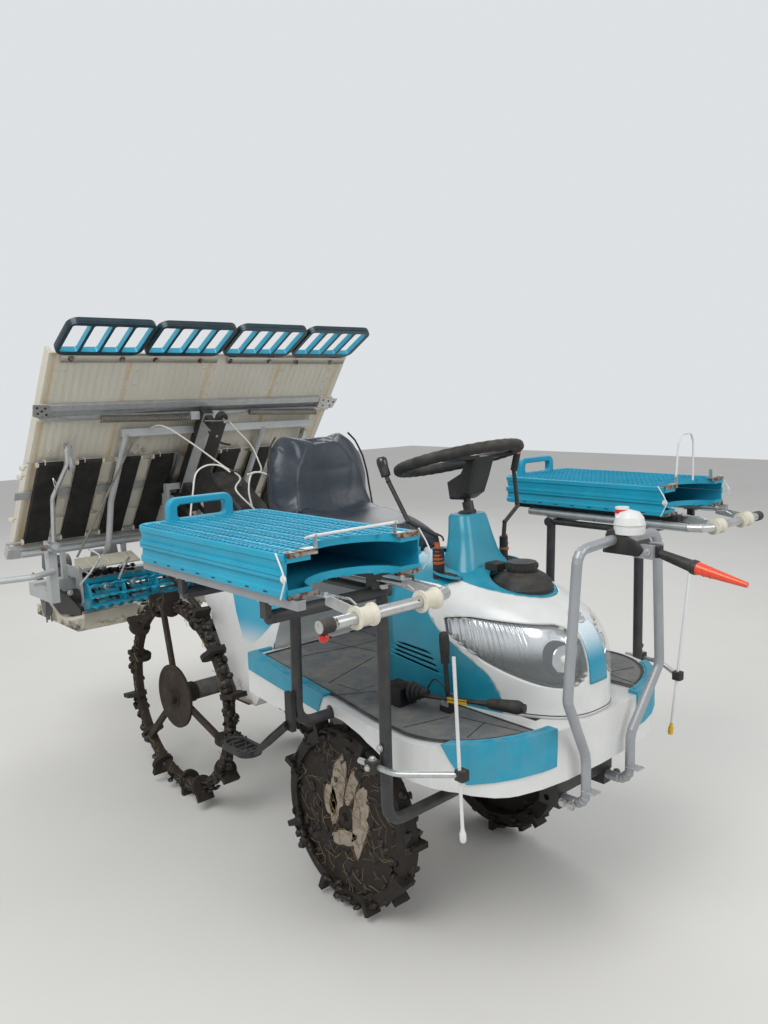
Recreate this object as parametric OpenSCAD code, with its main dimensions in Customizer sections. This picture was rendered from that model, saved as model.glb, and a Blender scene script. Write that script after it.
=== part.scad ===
// Riding rice transplanter with four rows, planting unit raised.
// X runs forward, Y to the machine's left, Z up, all in millimetres.
// Distances along X are measured from the rear axle, which lies rear_axle_back behind the frame's origin.

/* [Running gear] */
// Distance from the rear axle back to the middle of the machine's length
rear_axle_back = 444; // [400:1:480]
// Distance between the axles
wheelbase = 945; // [920:5:980]
// Middle of a rear wheel from the middle of the machine
rear_track_half = 300; // [290:1:320]
// Middle of a front wheel from the middle of the machine
front_track_half = 312; // [306:1:320]
// Rear wheel over its paddle lugs
rear_wheel_d = 750; // [740:2:760]
// Front wheel over its lugs
front_wheel_d = 530; // [516:2:540]
// Paddle lugs round a rear wheel
rear_lugs = 14; // [10:1:18]
// Bar lugs round a front wheel
front_lugs = 16; // [12:1:20]
// Width of a front tyre
front_tyre_w = 78; // [66:1:82]
// Steering axis from the middle of the machine
kingpin_y = 225; // [220:1:230]
// Radius of the steering pin
kingpin_r = 18; // [14:1:22]
// Radius of a wheel shaft
shaft_r = 15; // [12:1:17]

/* [Frame] */
// Middle of a frame rail from the middle of the machine
rail_y = 95; // [90:1:100]
// Width of a frame rail
rail_w = 40; // [34:1:44]
// Underside of the frame rails
rail_z = 440; // [436:1:446]
// Height of a frame rail
rail_h = 60; // [50:1:64]

/* [Deck and covers] */
// Top of the white deck
deck_z = 630; // [622:1:640]
// Depth of the deck's skirt at the nose
nose_skirt_h = 134; // [130:2:150]
// Wall of the mouldings
skin = 6; // [4:0.5:8]
// Half width of the deck at its rear end
deck_rear_half = 320; // [300:2:340]
// Half width of the deck beside the front wheels
deck_mid_half = 445; // [430:1:460]
// Front end of the deck
deck_front = 1545; // [1530:1:1548]
// Rear end of the deck
deck_rear = 480; // [470:1:500]
// Top of the bonnet before its rise to the rear
bonnet_top = 928; // [920:1:936]
// Rise of the bonnet's top towards the driver
bonnet_rise = 50; // [40:1:56]
// Nose of the bonnet
bonnet_nose = 1536; // [1520:1:1540]
// Rear edge of the bonnet
bonnet_rear = 990; // [985:1:1000]
// Half width of the bonnet at the deck
bonnet_half = 198; // [180:1:210]
// Half width of the rear body
body_half = 235; // [220:1:240]
// Top of the rear body
body_top = 860; // [830:2:880]

/* [Driver's place] */
// Middle of the steering wheel, forward of the rear axle
wheel_x = 1082; // [1076:1:1086]
// Height of the steering wheel's middle
wheel_z = 1235; // [1215:1:1250]
// Diameter of the steering wheel
steer_d = 362; // [350:2:376]
// Lean of the steering column
column_lean = 15; // [14:0.5:15.5]
// Underside of the seat cushion
seat_z = 925; // [915:1:940]
// Width of the seat
seat_w = 430; // [400:2:450]

/* [Seedling carriers] */
// Length of a carrier tray
tray_l = 597; // [580:1:610]
// Width of a carrier tray
tray_w = 347; // [330:1:360]
// Height of one of the two trays in a stack
tray_h = 42; // [36:0.5:46]
// Inner side of the trays from the middle of the machine
tray_y = 488; // [484:1:500]
// Front end of the trays
tray_front = 1424; // [1410:1:1436]
// Underside of the lower tray
tray_z = 1047; // [1040:1:1056]
// Radius of the tubes that carry the trays
post_r = 14; // [11:0.5:15]
// Carrier posts from the middle of the machine
post_y = 515; // [510:1:525]

/* [Planting unit] */
// Distance between rows
row_pitch = 300; // [290:1:310]
// Width of the seedling table
table_w = 1250; // [1230:2:1270]
// Length of the seedling table down its slope
table_l = 884; // [860:2:900]
// Slope of the seedling table
table_slope = 54.9; // [52:0.1:57]
// Length of the lift links
link_l = 420; // [410:1:430]
// Rise of the lift links in the raised position
link_rise = 28; // [25:0.5:30]
// Axis of the planting rotors behind the rear axle
rotor_back = 800; // [790:1:820]
// Height of the planting rotors' axis
rotor_z = 690; // [680:1:700]
// Axis of the levelling rotor behind the rear axle
leveller_back = 480; // [476:1:500]
// Radius of the levelling rotor's cage
leveller_r = 64; // [56:1:66]
// Height of the levelling rotor's axis
leveller_z = 680; // [670:1:690]
// Half length of the levelling rotor
leveller_half = 420; // [400:2:440]

/* [Hidden] */
$fn = 48;
row_count = 4;
link_foot_x = -70;
link_foot_z = 575;
link_gap = 250;
link_end_x = link_foot_x - link_l * cos(link_rise);
link_end_z = link_foot_z + link_l * sin(link_rise);
rear_r = rear_wheel_d / 2;
front_r = front_wheel_d / 2;
run = 0.05;
clear = 0.3;
tower_y = 75;
pin_r = 10;
tie_r = 8;
roller_r = 22;
roller_x = 1534;
roller_z = tray_z - roller_r - 6;
rail_r = 12;
cross_z = roller_z - rail_r - clear - post_r;
cap_x = 1300;
dome_r = 82;
column_r = 15;
tower_top = 850;
marker_pivot = [1676, 0, 1049];
lift_foot = [60, 0, 805];
lift_share = 0.5;
table_top_x = -123;
table_top_z = 1575;
table_t = 8;
marker_z = 900;
window_slope = 30;
window_foot = 9;
window_l = 190;
float_z = 515;
hinge_x = tray_front + 7;
tray_gap = 1;
hinge_z = tray_z + tray_h + tray_gap / 2;
rail_top = rail_z + rail_h;

// Everything is drawn from the rear axle and moved to the frame's origin here.
module from_axle() { translate([-rear_axle_back, 0, 0]) children(); }

// What is drawn for the left side, on the side asked for: 1 for left, -1 for right.
module on_side(side) { mirror([0, side < 0 ? 1 : 0, 0]) children(); }

module both_sides() { on_side(1) children(); on_side(-1) children(); }

function unit(v) = v / norm(v);

// A straight round bar between two points.
module rod(a, b, r) {
    d = b - a;
    turn = atan2(d[1], d[0]);
    tilt = acos(d[2] / norm(d));
    translate(a) rotate([0, tilt, turn]) cylinder(r = r, h = norm(d));
}

// Points along the bend at corner i of the path p, or the end itself.
function bend_points(p, i, bend) =
    i == 0 || i == len(p) - 1 ? [p[i]]
        : let (d1 = unit(p[i] - p[i - 1]), d2 = unit(p[i + 1] - p[i]), angle = acos(d1 * d2),
            reach = bend * tan(angle / 2), centre = p[i] + unit(d2 - d1) * (bend / cos(angle / 2)),
            ex = unit(p[i] - d1 * reach - centre), steps = max(1, round(angle / 22)))
            [for (k = [0 : steps], a = [angle * k / steps]) centre + (ex * cos(a) + d1 * sin(a)) * bend];

// A bent tube through the points p, with the same bend at every corner; its joints are turned by t.
module bent_tube(p, r, bend, t = [0, 0, 0]) {
    q = [for (i = [0 : len(p) - 1], v = bend_points(p, i, bend)) v];
    for (i = [0 : len(q) - 2]) rod(q[i], q[i + 1], r);
    for (i = [1 : len(q) - 2]) translate(q[i]) rotate(t) sphere(r = r + 0.2);
}

// A round bar through the points p with a ball at its foot and at every corner.
module stick(p, r) {
    translate(p[0]) rotate([17, 31, 11]) sphere(r = r + 3);
    for (i = [0 : len(p) - 2]) rod(p[i], p[i + 1], r);
    for (i = [1 : len(p) - 2]) translate(p[i]) rotate([17, 31, 11]) sphere(r = r + 1);
}

// A block given by its lowest and highest corners.
module block(low, high) { translate(low) cube(high - low); }

// A round bar along Y.
module cross_bar(x, z, y0, y1, r) { translate([x, y0, z]) rotate([-90, 0, 0]) cylinder(r = r, h = y1 - y0); }

/* Frame */

module chassis_frame() color("dimgray") from_axle() difference() {
    union() {
        for (s = [-1, 1])
            block([-80, s * rail_y - rail_w / 2, rail_z], [1500, s * rail_y + rail_w / 2, rail_top]);
        // columns: x of each cross member between the rails, and its length along X
        for (m = [[-80, 50], [520, 60], [928, 34], [1440, 60]])
            block([m[0], -rail_y, rail_z], [m[0] + m[1], rail_y, rail_z + 40]);
        // seats of the rear carrier tubes, and the nose brackets
        for (s = [-1, 1]) block([975, s * 105 - 10, rail_top], [1015, s * 105 + 10, deck_z - 12]);
        for (s = [-1, 1]) block([1440, s * rail_y - 15, 405], [1500, s * rail_y + 15, rail_top]);
    }
    // tie-down holes of the nose brackets
    cross_bar(1462, 424, -150, 150, tie_r);
}

// Two plates that stand on the rails, with the feet of the lift links and of the lift cylinder.
module rear_tower() color("dimgray") from_axle() union() {
    for (s = [-1, 1]) translate([0, s * rail_y + 5, 0]) rotate([90, 0, 0]) linear_extrude(10)
        polygon([[-80, rail_top], [90, rail_top], [90, tower_top - 20], [40, tower_top], [-98, tower_top],
            [-98, rail_top + 20]]);
    cross_bar(link_foot_x, link_foot_z, -140, 140, pin_r);
    cross_bar(link_foot_x, link_foot_z + link_gap, -rail_y, rail_y, pin_r);
    cross_bar(lift_foot[0], lift_foot[2], -rail_y, rail_y, pin_r);
}

module engine_block() color("gray") from_axle()
    block([1140, -110, rail_top], [1385, 110, 790]);

module driveline() color("slategray") from_axle() difference() {
    union() {
        block([560, -70, 330], [920, 70, rail_z - 10]);
        block([600, -115, rail_z - 10], [880, 115, rail_z]);
        block([-75, -80, 300], [95, 80, rail_z - 10]);
        block([-75, -115, rail_z - 10], [95, 115, rail_z]);
        translate([90, 0, 385]) rotate([0, 90, 0]) cylinder(r = 22, h = wheelbase - 115);
        cross_bar(0, rear_r, -rear_track_half + 60, rear_track_half - 60, 32);
        cross_bar(wheelbase, 395, -kingpin_y, kingpin_y, 30);
        block([wheelbase - 30, -70, 380], [wheelbase + 30, 70, rail_z]);
        both_sides() translate([wheelbase, kingpin_y, 352]) cylinder(r = 33, h = 110);
    }
    cross_bar(0, rear_r, -rear_track_half, -90, shaft_r);
    cross_bar(0, rear_r, 90, rear_track_half, shaft_r);
    both_sides() translate([wheelbase, kingpin_y, 340]) cylinder(r = kingpin_r, h = 140);
}

/* Wheels */

module knuckle(side) color("slategray") from_axle() on_side(side) difference() {
    union() {
        translate([wheelbase, kingpin_y, 200]) cylinder(r = 34, h = 150);
        translate([wheelbase, kingpin_y, 340]) cylinder(r = kingpin_r - run, h = 130);
        cross_bar(wheelbase, front_r, kingpin_y - 20, kingpin_y + 38, 30);
    }
    cross_bar(wheelbase, front_r, kingpin_y - 10, kingpin_y + 50, shaft_r);
}

module front_wheel(side) color("saddlebrown") from_axle() on_side(side)
    translate([wheelbase, front_track_half, front_r]) rotate([-90, 0, 0]) union() {
        translate([0, 0, -front_track_half + kingpin_y - 5]) cylinder(r = shaft_r - run, h = 90);
        rotate_extrude() polygon([[0, -30], [34, -30], [34, -6], [120, 8], [206, 8],
            [206, -26], [front_r - 28, -26], [front_r - 18, -front_tyre_w * 0.28],
            [front_r - 18, front_tyre_w * 0.28], [front_r - 28, 26], [212, 26], [212, 14],
            [118, 14], [40, 2], [40, 12], [26, 20], [0, 20]]);
        for (i = [0 : front_lugs - 1]) rotate(i * 360 / front_lugs)
            translate([front_r - 40, -8, i % 2 == 0 ? -front_tyre_w / 2 : -front_tyre_w * 0.1])
                front_lug();
    }

// A bar lug that reaches from beyond the tyre's edge to past its middle.
module front_lug() intersection() {
    cube([60, 16, front_tyre_w * 0.6]);
    translate([40 - front_r, 8, -front_tyre_w]) cylinder(r = front_r, h = 3 * front_tyre_w, $fn = 96);
}

module rear_wheel(side) color("saddlebrown") from_axle() on_side(side)
    translate([0, rear_track_half, rear_r]) rotate([-90, 0, 0]) union() {
        translate([0, 0, 100 - rear_track_half]) cylinder(r = shaft_r - run, h = rear_track_half - 60);
        translate([0, 0, -50]) cylinder(r = 36, h = 76);
        translate([0, 0, 16]) cylinder(r = 112, h = 7, $fn = 64);
        translate([0, 0, 23]) cylinder(r = 24, h = 22);
        spokes(0);
        rotate_extrude($fn = 72) translate([rear_r - 68, -13]) square([7, 26]);
    }

// The three bars between the hub disc and the rim, grown by g.
module spokes(g) for (i = [0 : 2]) rotate(17 + i * 120) translate([60, -11 - g, 4 - g])
    cube([rear_r - 125.5, 22 + 2 * g, 13.5 + 2 * g]);

// The rubber ring and its paddles, every second one on the other side, held on the steel rim.
module rear_lug_ring(side) color("darkolivegreen") from_axle() on_side(side)
    translate([0, rear_track_half, rear_r]) rotate([-90, 0, 0]) difference() {
        union() {
            rotate_extrude($fn = 72) translate([rear_r - 61, -14]) square([24, 28]);
            for (i = [0 : rear_lugs - 1]) rotate((i + 0.5) * 360 / rear_lugs)
                rotate([90, 0, 0]) translate([rear_r - 50, i % 2 == 0 ? 14 : -14, -8])
                    linear_extrude(16) paddle();
        }
        rotate_extrude($fn = 72) translate([rear_r - 69, -13 - clear]) square([8 + clear, 26 + 2 * clear]);
        spokes(clear);
    }

// One paddle seen along the rim: a rounded ear that stands out past the ring.
module paddle() intersection() {
    union() { circle(r = 38); translate([0, -30]) square([50, 60]); }
    translate([-38, -50]) square([88, 100]);
}

/* Deck and covers */

// Outline of the deck on the left, from its rear corner round to the nose, grown outwards by g.
function deck_half(g) = concat(
    [[deck_rear - g, 0], [deck_rear - g, deck_rear_half + g], [980, deck_mid_half - 40 + g],
     [1180, deck_mid_half + g]],
    [for (a = [0 : 10 : 90])
        [1300 + (deck_front - 1300 + g) * sin(a), (deck_mid_half + 10 + g) * pow(cos(a), 0.7)]]);

module deck_outline(g) { polygon(deck_half(g)); mirror([0, 1]) polygon(deck_half(g)); }

module slab(z0, z1, g) translate([0, 0, z0]) linear_extrude(z1 - z0) deck_outline(g);

// What lies below the skirt's lower edge, seen from the side: low behind, high over the front wheel.
module skirt_edge() polygon([[0, 0], [1600, 0], [1600, deck_z - 131], [1502, deck_z - 127],
    [1433, deck_z - 104], [1365, deck_z - 95], [1295, deck_z - 86], [1253, deck_z - 68], [1209, deck_z - 54],
    [1150, deck_z - 39], [1059, deck_z - 31], [980, deck_z - 38], [900, deck_z - 62], [840, deck_z - 92],
    [790, deck_z - 104], [623, deck_z - 118], [0, deck_z - 130]]);

module deck_skirt() color("white") from_axle() difference() {
    slab(deck_z - nose_skirt_h, deck_z, 0);
    slab(deck_z - nose_skirt_h - 1, deck_z - 12, -skin);
    translate([0, 600, 0]) rotate([90, 0, 0]) linear_extrude(1200) skirt_edge();
    block([bonnet_rear + 60, -150, 0], [1460, 150, deck_z + 1]);
    block([deck_rear - 1, -body_half - 1, 0], [deck_rear + 30, body_half + 1, deck_z + 1]);
    both_sides() cross_bar(995, deck_z - 30, 300, 600, post_r + 6);
}

module floor_mats() color("gray") from_axle() difference() {
    slab(deck_z, deck_z + 5, -26);
    block([bonnet_rear - 8, -bonnet_half - 6, 0], [1700, bonnet_half + 6, 900]);
    block([1540, -600, 0], [1700, 600, 900]);
    block([400, -600, 0], [deck_rear + 62, 600, 900]);
}

module corner_pads() color("darkturquoise") from_axle() intersection() {
    difference() {
        slab(deck_z - 84, deck_z + 9, 4);
        slab(deck_z - 85, deck_z - 6, clear);
        slab(deck_z - 7, deck_z + 10, -24);
        translate([0, 0, deck_z - 20]) linear_extrude(20) deck_outline(0);
    }
    both_sides() {
        translate([0, 600, 0]) rotate([90, 0, 0]) linear_extrude(600 - body_half - 8)
            polygon([[490, deck_z - 46], [930, deck_z - 46], [962, deck_z + 10], [490, deck_z + 10]]);
        translate([0, 600, 0]) rotate([90, 0, 0]) linear_extrude(430)
            polygon([[1452, deck_z - 85], [1538, deck_z - 85], [1542, deck_z + 10], [1408, deck_z + 10]]);
    }
}

module rear_body() color("white") from_axle() difference() {
    rear_body_form(0);
    rear_body_form(skin);
    block([-300, -rail_y - 15, 0], [110, rail_y + 15, 1000]);
    for (s = [-1, 1])
        block([0, s * rail_y - rail_w / 2 - clear, rail_z - clear],
            [600, s * rail_y + rail_w / 2 + clear, rail_top + clear]);
}

module rear_body_form(inset) translate([0, body_half - inset, 0]) rotate([90, 0, 0])
    linear_extrude(2 * (body_half - inset))
        polygon([[60 + inset, body_top - inset], [90 + inset, 740], [285 + inset, 412 - inset],
            [380 - inset, 412 - inset], [deck_rear - inset, 560], [deck_rear + 25 - inset, 650],
            [deck_rear + 120 - inset, body_top - inset]]);

// The bonnet is a rounded nose: at height share h its length and half width follow round curves.
function nose_len(h) = (bonnet_nose - bonnet_rear) * pow(1 - pow(h, 4.3), 1 / 2.9);
function nose_half(h) = bonnet_half * pow(1 - pow(h, 8), 1 / 2.5);
function bonnet_point(a, h, g) =
    let (along = nose_len(h) * pow(max(cos(a), 0), 0.75))
    [bonnet_rear + along + g * pow(max(cos(a), 0), 0.75),
        (nose_half(h) + g) * sign(a) * pow(abs(sin(a)), 0.75),
        deck_z + (bonnet_top - deck_z) * h
            + bonnet_rise * pow(h, 6) * (1 - along / (bonnet_nose - bonnet_rear)) + g * pow(h, 4)];

// Lower and upper edge of the headlights, as height shares; row j of the bonnet's net at angle a.
lamp_high = 0.75;
lamp_deep = 28;
function lamp_low(a) = min(0.26 + 0.00019 * pow(max(abs(a) - 22, 0), 2), lamp_high - 0.02);
function net_height(a, j) =
    j <= 4 ? 0.002 + (lamp_low(a) - 0.002) * j / 4
        : j <= 7 ? lamp_low(a) + (lamp_high - lamp_low(a)) * (j - 4) / 3
            : 0.9995 - (0.9995 - lamp_high) * pow(1 - (j - 7) / 9, 1.8);

// A sheet that follows the bonnet from angle a0 to a1 and row j0 to j1, from g0 to g1 above its surface;
// e moves its first and last row outwards.
module bonnet_sheet(a0, a1, j0, j1, g0, g1, e = 0) {
    n = round((a1 - a0) / 6) + 1;
    m = j1 - j0 + 1;
    angles = [for (i = [0 : n - 1]) a0 + i * (a1 - a0) / (n - 1)];
    pts = [for (g = [g0, g1], a = angles, j = [j0 : j1])
        bonnet_point(a, net_height(a, j) + (j == j0 ? -e : j == j1 ? e : 0), g)];
    function at(k, i, j) = k * n * m + i * m + j;
    polyhedron(pts, concat(
        [for (i = [0 : n - 2], j = [0 : m - 2]) [at(1, i, j), at(1, i, j + 1), at(1, i + 1, j + 1)]],
        [for (i = [0 : n - 2], j = [0 : m - 2]) [at(1, i, j), at(1, i + 1, j + 1), at(1, i + 1, j)]],
        [for (i = [0 : n - 2], j = [0 : m - 2]) [at(0, i, j), at(0, i + 1, j + 1), at(0, i, j + 1)]],
        [for (i = [0 : n - 2], j = [0 : m - 2]) [at(0, i, j), at(0, i + 1, j), at(0, i + 1, j + 1)]],
        [for (i = [0 : n - 2]) [at(0, i, 0), at(1, i + 1, 0), at(0, i + 1, 0)]],
        [for (i = [0 : n - 2]) [at(0, i, 0), at(1, i, 0), at(1, i + 1, 0)]],
        [for (i = [0 : n - 2]) [at(0, i, m - 1), at(0, i + 1, m - 1), at(1, i + 1, m - 1)]],
        [for (i = [0 : n - 2]) [at(0, i, m - 1), at(1, i + 1, m - 1), at(1, i, m - 1)]],
        [for (j = [0 : m - 2]) [at(0, 0, j), at(0, 0, j + 1), at(1, 0, j + 1)]],
        [for (j = [0 : m - 2]) [at(0, 0, j), at(1, 0, j + 1), at(1, 0, j)]],
        [for (j = [0 : m - 2]) [at(0, n - 1, j), at(1, n - 1, j + 1), at(0, n - 1, j + 1)]],
        [for (j = [0 : m - 2]) [at(0, n - 1, j), at(1, n - 1, j), at(1, n - 1, j + 1)]]));
}

// What lies ahead of the edge between the white cowl and the side covers, widened by g.
module cowl_region(g) difference() {
    translate([0, 300, 0]) rotate([90, 0, 0]) linear_extrude(600)
        polygon([[1385 - g, 500], [1367 - g, 670], [1334 - g, 722], [1250 - g, 770], [1180 - g, 812],
            [1142 - g, 850], [1146 - g, 890], [1207 - g, 960], [1700, 960], [1700, 500]]);
    translate([1204, 0, 865]) scale([1.6, 1, 1]) cylinder(r = 120 - g, h = 100);
}

// Where a headlight lies, from its reflector's back to its lens, grown by e in height and t in angle.
module lamp_room(side, g0, g1, e, t)
    bonnet_sheet(side > 0 ? 6 - t : -72 - t, side > 0 ? 72 + t : -6 + t, 4, 7, g0, g1, e);

// The whole bonnet as one solid, grown by g, for what stands on it.
module bonnet_form(g) {
    pts = [for (a = [-90 : 10 : 90], j = [0 : 16]) bonnet_point(a, net_height(a, j), g)];
    hull() polyhedron(pts, [for (i = [0 : len(pts) - 3]) [i, i + 1, i + 2]]);
}

module bonnet_cowl() color("white") from_axle() difference() {
    intersection() {
        bonnet_sheet(-90, 90, 0, 16, -skin, 0);
        cowl_region(0);
    }
    for (s = [-1, 1]) lamp_room(s, -lamp_deep - 6, 10, 0.0015, 0.12);
}

// Teal sides and top of the bonnet, with four slots on each side, and the wall that faces the driver.
module side_covers() color("darkturquoise") from_axle() difference() {
    union() {
        bonnet_sheet(-90, 90, 0, 16, -skin, 0);
        translate([bonnet_rear, 0, 0]) rotate([90, 0, 90]) linear_extrude(skin)
            polygon([for (s = [-1, 1], k = [0 : 16]) let (h = net_height(90, s < 0 ? k : 16 - k))
                [-s * (nose_half(h) - 0.5), bonnet_point(90, h, -0.5)[2]]]);
    }
    cowl_region(clear);
    translate([cap_x, 0, 800]) cylinder(r = dome_r + clear, h = 200);
    rotate_about([wheel_x, 0, wheel_z], -column_lean) translate([0, 0, -700])
        cylinder(r = column_r + 2, h = 900);
    for (i = [0 : 3]) translate([1031 - 5 * i, -300, 749 - 11.5 * i]) rotate([0, 3.6 + i, 0])
        cube([126 + 13 * i, 600, 5]);
}

module bonnet_panel() color("darkturquoise") from_axle() bonnet_sheet(-5.4, 5.4, 4, 7, clear, 5);

module headlights() color("lightgray") from_axle() for (s = [-1, 1]) lamp_room(s, -lamp_deep, 5, 0, 0);

// The slender tower round the steering column, standing on the bonnet's top.
module column_cover() color("darkturquoise") from_axle() difference() {
    intersection() {
        translate([0, 200, 0]) rotate([90, 0, 0]) linear_extrude(400)
            polygon([[1062, 940], [1200, 925], [1192, 955], [1174, 985], [1146, 1088], [1078, 1088],
                [1086, 985], [1076, 965]]);
        translate([900, 0, 0]) rotate([90, 0, 90]) linear_extrude(400)
            polygon([[-104, 920], [104, 920], [96, 955], [76, 985], [52, 1090], [-52, 1090], [-76, 985],
                [-96, 955]]);
    }
    bonnet_form(clear);
    rotate_about([wheel_x, 0, wheel_z], -column_lean) translate([0, 0, -700])
        cylinder(r = column_r + clear, h = 900);
}

// Turns what is drawn on an upright axis through p so that it leans back.
module rotate_about(p, lean) translate(p) rotate([0, lean, 0]) children();

// The black dome over the fuel filler, and its cap.
module fuel_cap() color("black") from_axle() translate([cap_x, 0, 0]) {
    rotate_extrude() polygon([[0, 880], [dome_r, 880], [dome_r, 914], [dome_r - 7, 931], [dome_r - 21, 944],
        [48, 951], [46, 953], [0, 953]]);
    translate([0, 0, 953]) cylinder(r = 38, h = 24);
    translate([0, 0, 960]) cylinder(r = 41, h = 14);
}

module steering_column() color("black") from_axle() rotate_about([wheel_x, 0, wheel_z], -column_lean)
    difference() {
        translate([0, 0, -322]) cylinder(r = column_r, h = 202);
        translate([0, 0, -330]) cylinder(r = 10, h = 400);
    }

// Rim, wedge-shaped boss and two flat spokes.
module steering_wheel() color("black") from_axle() rotate_about([wheel_x, 0, wheel_z], -column_lean) {
    rotate_extrude($fn = 64) translate([steer_d / 2 - 15, 0]) circle(r = 15, $fn = 20);
    translate([0, 0, -300]) cylinder(r = 10 - run, h = 200);
    translate([0, 38, 0]) rotate([90, 0, 0]) linear_extrude(76)
        polygon([[-34, -113], [30, -115], [40, -98], [76, -20], [14, -8], [-30, -26]]);
    for (s = [-1, 1]) translate([0, s * 96, 0]) rotate([s * 10, 0, 0]) block([-6, -72, -25], [38, 76, -14]);
}

module front_guard() color("silver") from_axle() {
    guard_r = 12;
    both_sides() bent_tube([[1590, 0, 1070], [1590, 165, 1062], [1585, 195, 720], [1566, 96, 556],
        [1566, 94, 430], [1500 + clear, 94, 430]], guard_r, 34, [17, 31, 11]);
    block([1568, -26, 1040], [1652, 26, 1083]);
    for (s = [-1, 1]) block([1640, s * 18 - 5, 1033], [marker_pivot[0] + 14, s * 18 + 5, 1065]);
    cross_bar(marker_pivot[0], marker_pivot[2], -23, 23, 6);
}

// The lamp dome on the guard's head.
module guard_lamp() color("white") from_axle() translate([1616, 0, 1083 + clear]) {
    rotate_extrude() polygon([[0, 0], [35, 0], [36, 22], [32, 38], [22, 50], [0, 56]]);
    translate([-20, 0, 30]) cylinder(r = 16, h = 30);
}

/* Seedling carriers */

module carrier_frame(side) color("dimgray") from_axle() on_side(side) union() {
    bent_tube([[1327, post_y, cross_z], [1327, post_y, 455], [1316, 116, 455]], post_r, 45);
    bent_tube([[1008, post_y, cross_z], [998, post_y, deck_z - 30], [995, 116, deck_z - 30]], post_r, 45);
    for (x = [1008, 1327]) rod([x, post_y - 20, cross_z], [x, tray_y + tray_w - 20, cross_z], post_r);
    rod([1008, post_y, cross_z], [1327, post_y, cross_z], 10);
    // columns: inner side of each rail under the trays and its width
    for (m = [[tray_y + 40, 25], [tray_y + tray_w - 26, 18]]) {
        block([tray_front - tray_l + 20, m[0], tray_z - 19], [tray_front + 20, m[0] + m[1], tray_z]);
        for (x = [1008, 1327]) block([x - 10, m[0] + 2, cross_z], [x + 10, m[0] + m[1] - 2, tray_z - 18]);
    }
}

// Silver tubes along the inner sides of the trays that turn outwards and carry the rollers.
module carrier_rails() color("silver") from_axle() both_sides() {
    inner_y = post_y - 9;
    q = [[930, inner_y, roller_z + 2], [roller_x - 45, inner_y, roller_z],
        [roller_x - 13, inner_y + 13, roller_z + 0.5], [roller_x, inner_y + 45, roller_z],
        [roller_x, tray_y + tray_w + 14, roller_z]];
    for (i = [0 : 3]) rod(q[i], q[i + 1], rail_r);
    for (i = [1 : 3]) translate(q[i]) rotate([17, 31, 11]) sphere(r = rail_r + 0.5);
}

// A shallow ribbed tray with an open front end, its floor down, its front end at X 0.
module tray() difference() {
    union() {
        difference() {
            block([-tray_l, 0, 0], [0, tray_w, tray_h]);
            block([-tray_l + 4, 4, 7], [1, tray_w - 4, tray_h + 1]);
            block([-tray_l + 12, 12, -1], [-14, tray_w - 12, 3]);
        }
        for (i = [1 : 6]) block([-tray_l + 8, i * tray_w / 7 - 3, 0], [-14, i * tray_w / 7 + 3, 4]);
        for (i = [1 : 9]) block([-i * tray_l / 10 - 3, 8, 0.5], [-i * tray_l / 10 + 3, tray_w - 8, 4]);
    }
    translate([0, tray_w / 2, -1]) scale([0.72, 1, 1]) cylinder(r = 105, h = 9);
}

module lower_tray(side) color("darkturquoise") from_axle() on_side(side) difference() {
    union() {
        translate([tray_front, tray_y, tray_z]) tray();
        for (y = [tray_y - 5, tray_y + tray_w + 1])
            block([tray_front - 40, y, tray_z + 12], [tray_front + 17, y + 4, tray_z + tray_h + 8]);
        for (y = [tray_y - 1, tray_y + tray_w])
            block([tray_front - 40, y, tray_z + 12], [tray_front - 20, y + 1, tray_z + tray_h - 2]);
    }
    cross_bar(hinge_x, hinge_z, tray_y - 30, tray_y + tray_w + 30, 5);
}

module upper_tray(side) color("darkturquoise") from_axle() on_side(side) union() {
    translate([tray_front, tray_y + tray_w, 2 * hinge_z - tray_z]) rotate([180, 0, 0]) tray();
    for (y = [[tray_y - 10, tray_y - 6], [tray_y + tray_w + 6, tray_y + tray_w + 10]]) {
        block([tray_front - 30, y[0], hinge_z - 8], [tray_front + 17, y[1], hinge_z + 34]);
    }
    for (y = [[tray_y - 10, tray_y], [tray_y + tray_w, tray_y + tray_w + 10]])
        block([tray_front - 30, y[0], hinge_z + 16], [tray_front - 10, y[1], hinge_z + 34]);
    for (y = [[tray_y - 8, tray_y - 1], [tray_y + tray_w + 1, tray_y + tray_w + 8]])
        cross_bar(hinge_x, hinge_z, y[0], y[1], 5 - run);
    tray_handle();
}

// The moulded handle that stands up from the upper tray's rear wall.
module tray_handle() {
    rear = tray_front - tray_l;
    top = tray_z + 2 * tray_h + tray_gap;
    translate([rear + 16, 0, 0]) rotate([90, 0, -90]) linear_extrude(26) difference() {
        translate([-tray_y - 248, top - 40]) rounded(233, 112, 28);
        translate([-tray_y - 222, top + 2]) rounded(181, 46, 12);
    }
}

// White spools on the silver tubes.
module carrier_rollers() color("white") from_axle() both_sides()
    for (y = [580, 745]) translate([roller_x, y, roller_z]) rotate([-90, 0, 0])
        rotate_extrude() polygon([[rail_r + clear, -22], [roller_r, -22], [roller_r, -17], [17, -12], [17, 12],
            [roller_r, 17], [roller_r, 22], [rail_r + clear, 22]]);

module side_markers() color("white") from_axle() both_sides() {
    rod([1270, post_y + 30, 598], [1388, post_y + 26, 600], 7, $fn = 12);
    rod([1381, post_y + 29, 600], [1484, 459, 603.6], 7.1, $fn = 12);
    block([1474, 439, 592], [1506, 471, 616]);
    rod([1495, 450, 440], [1495, 450, 840], 4);
    block([1310, post_y + post_r + clear, 587], [1345, post_y + 39, 611]);
}

/* Driver's place */

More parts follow.
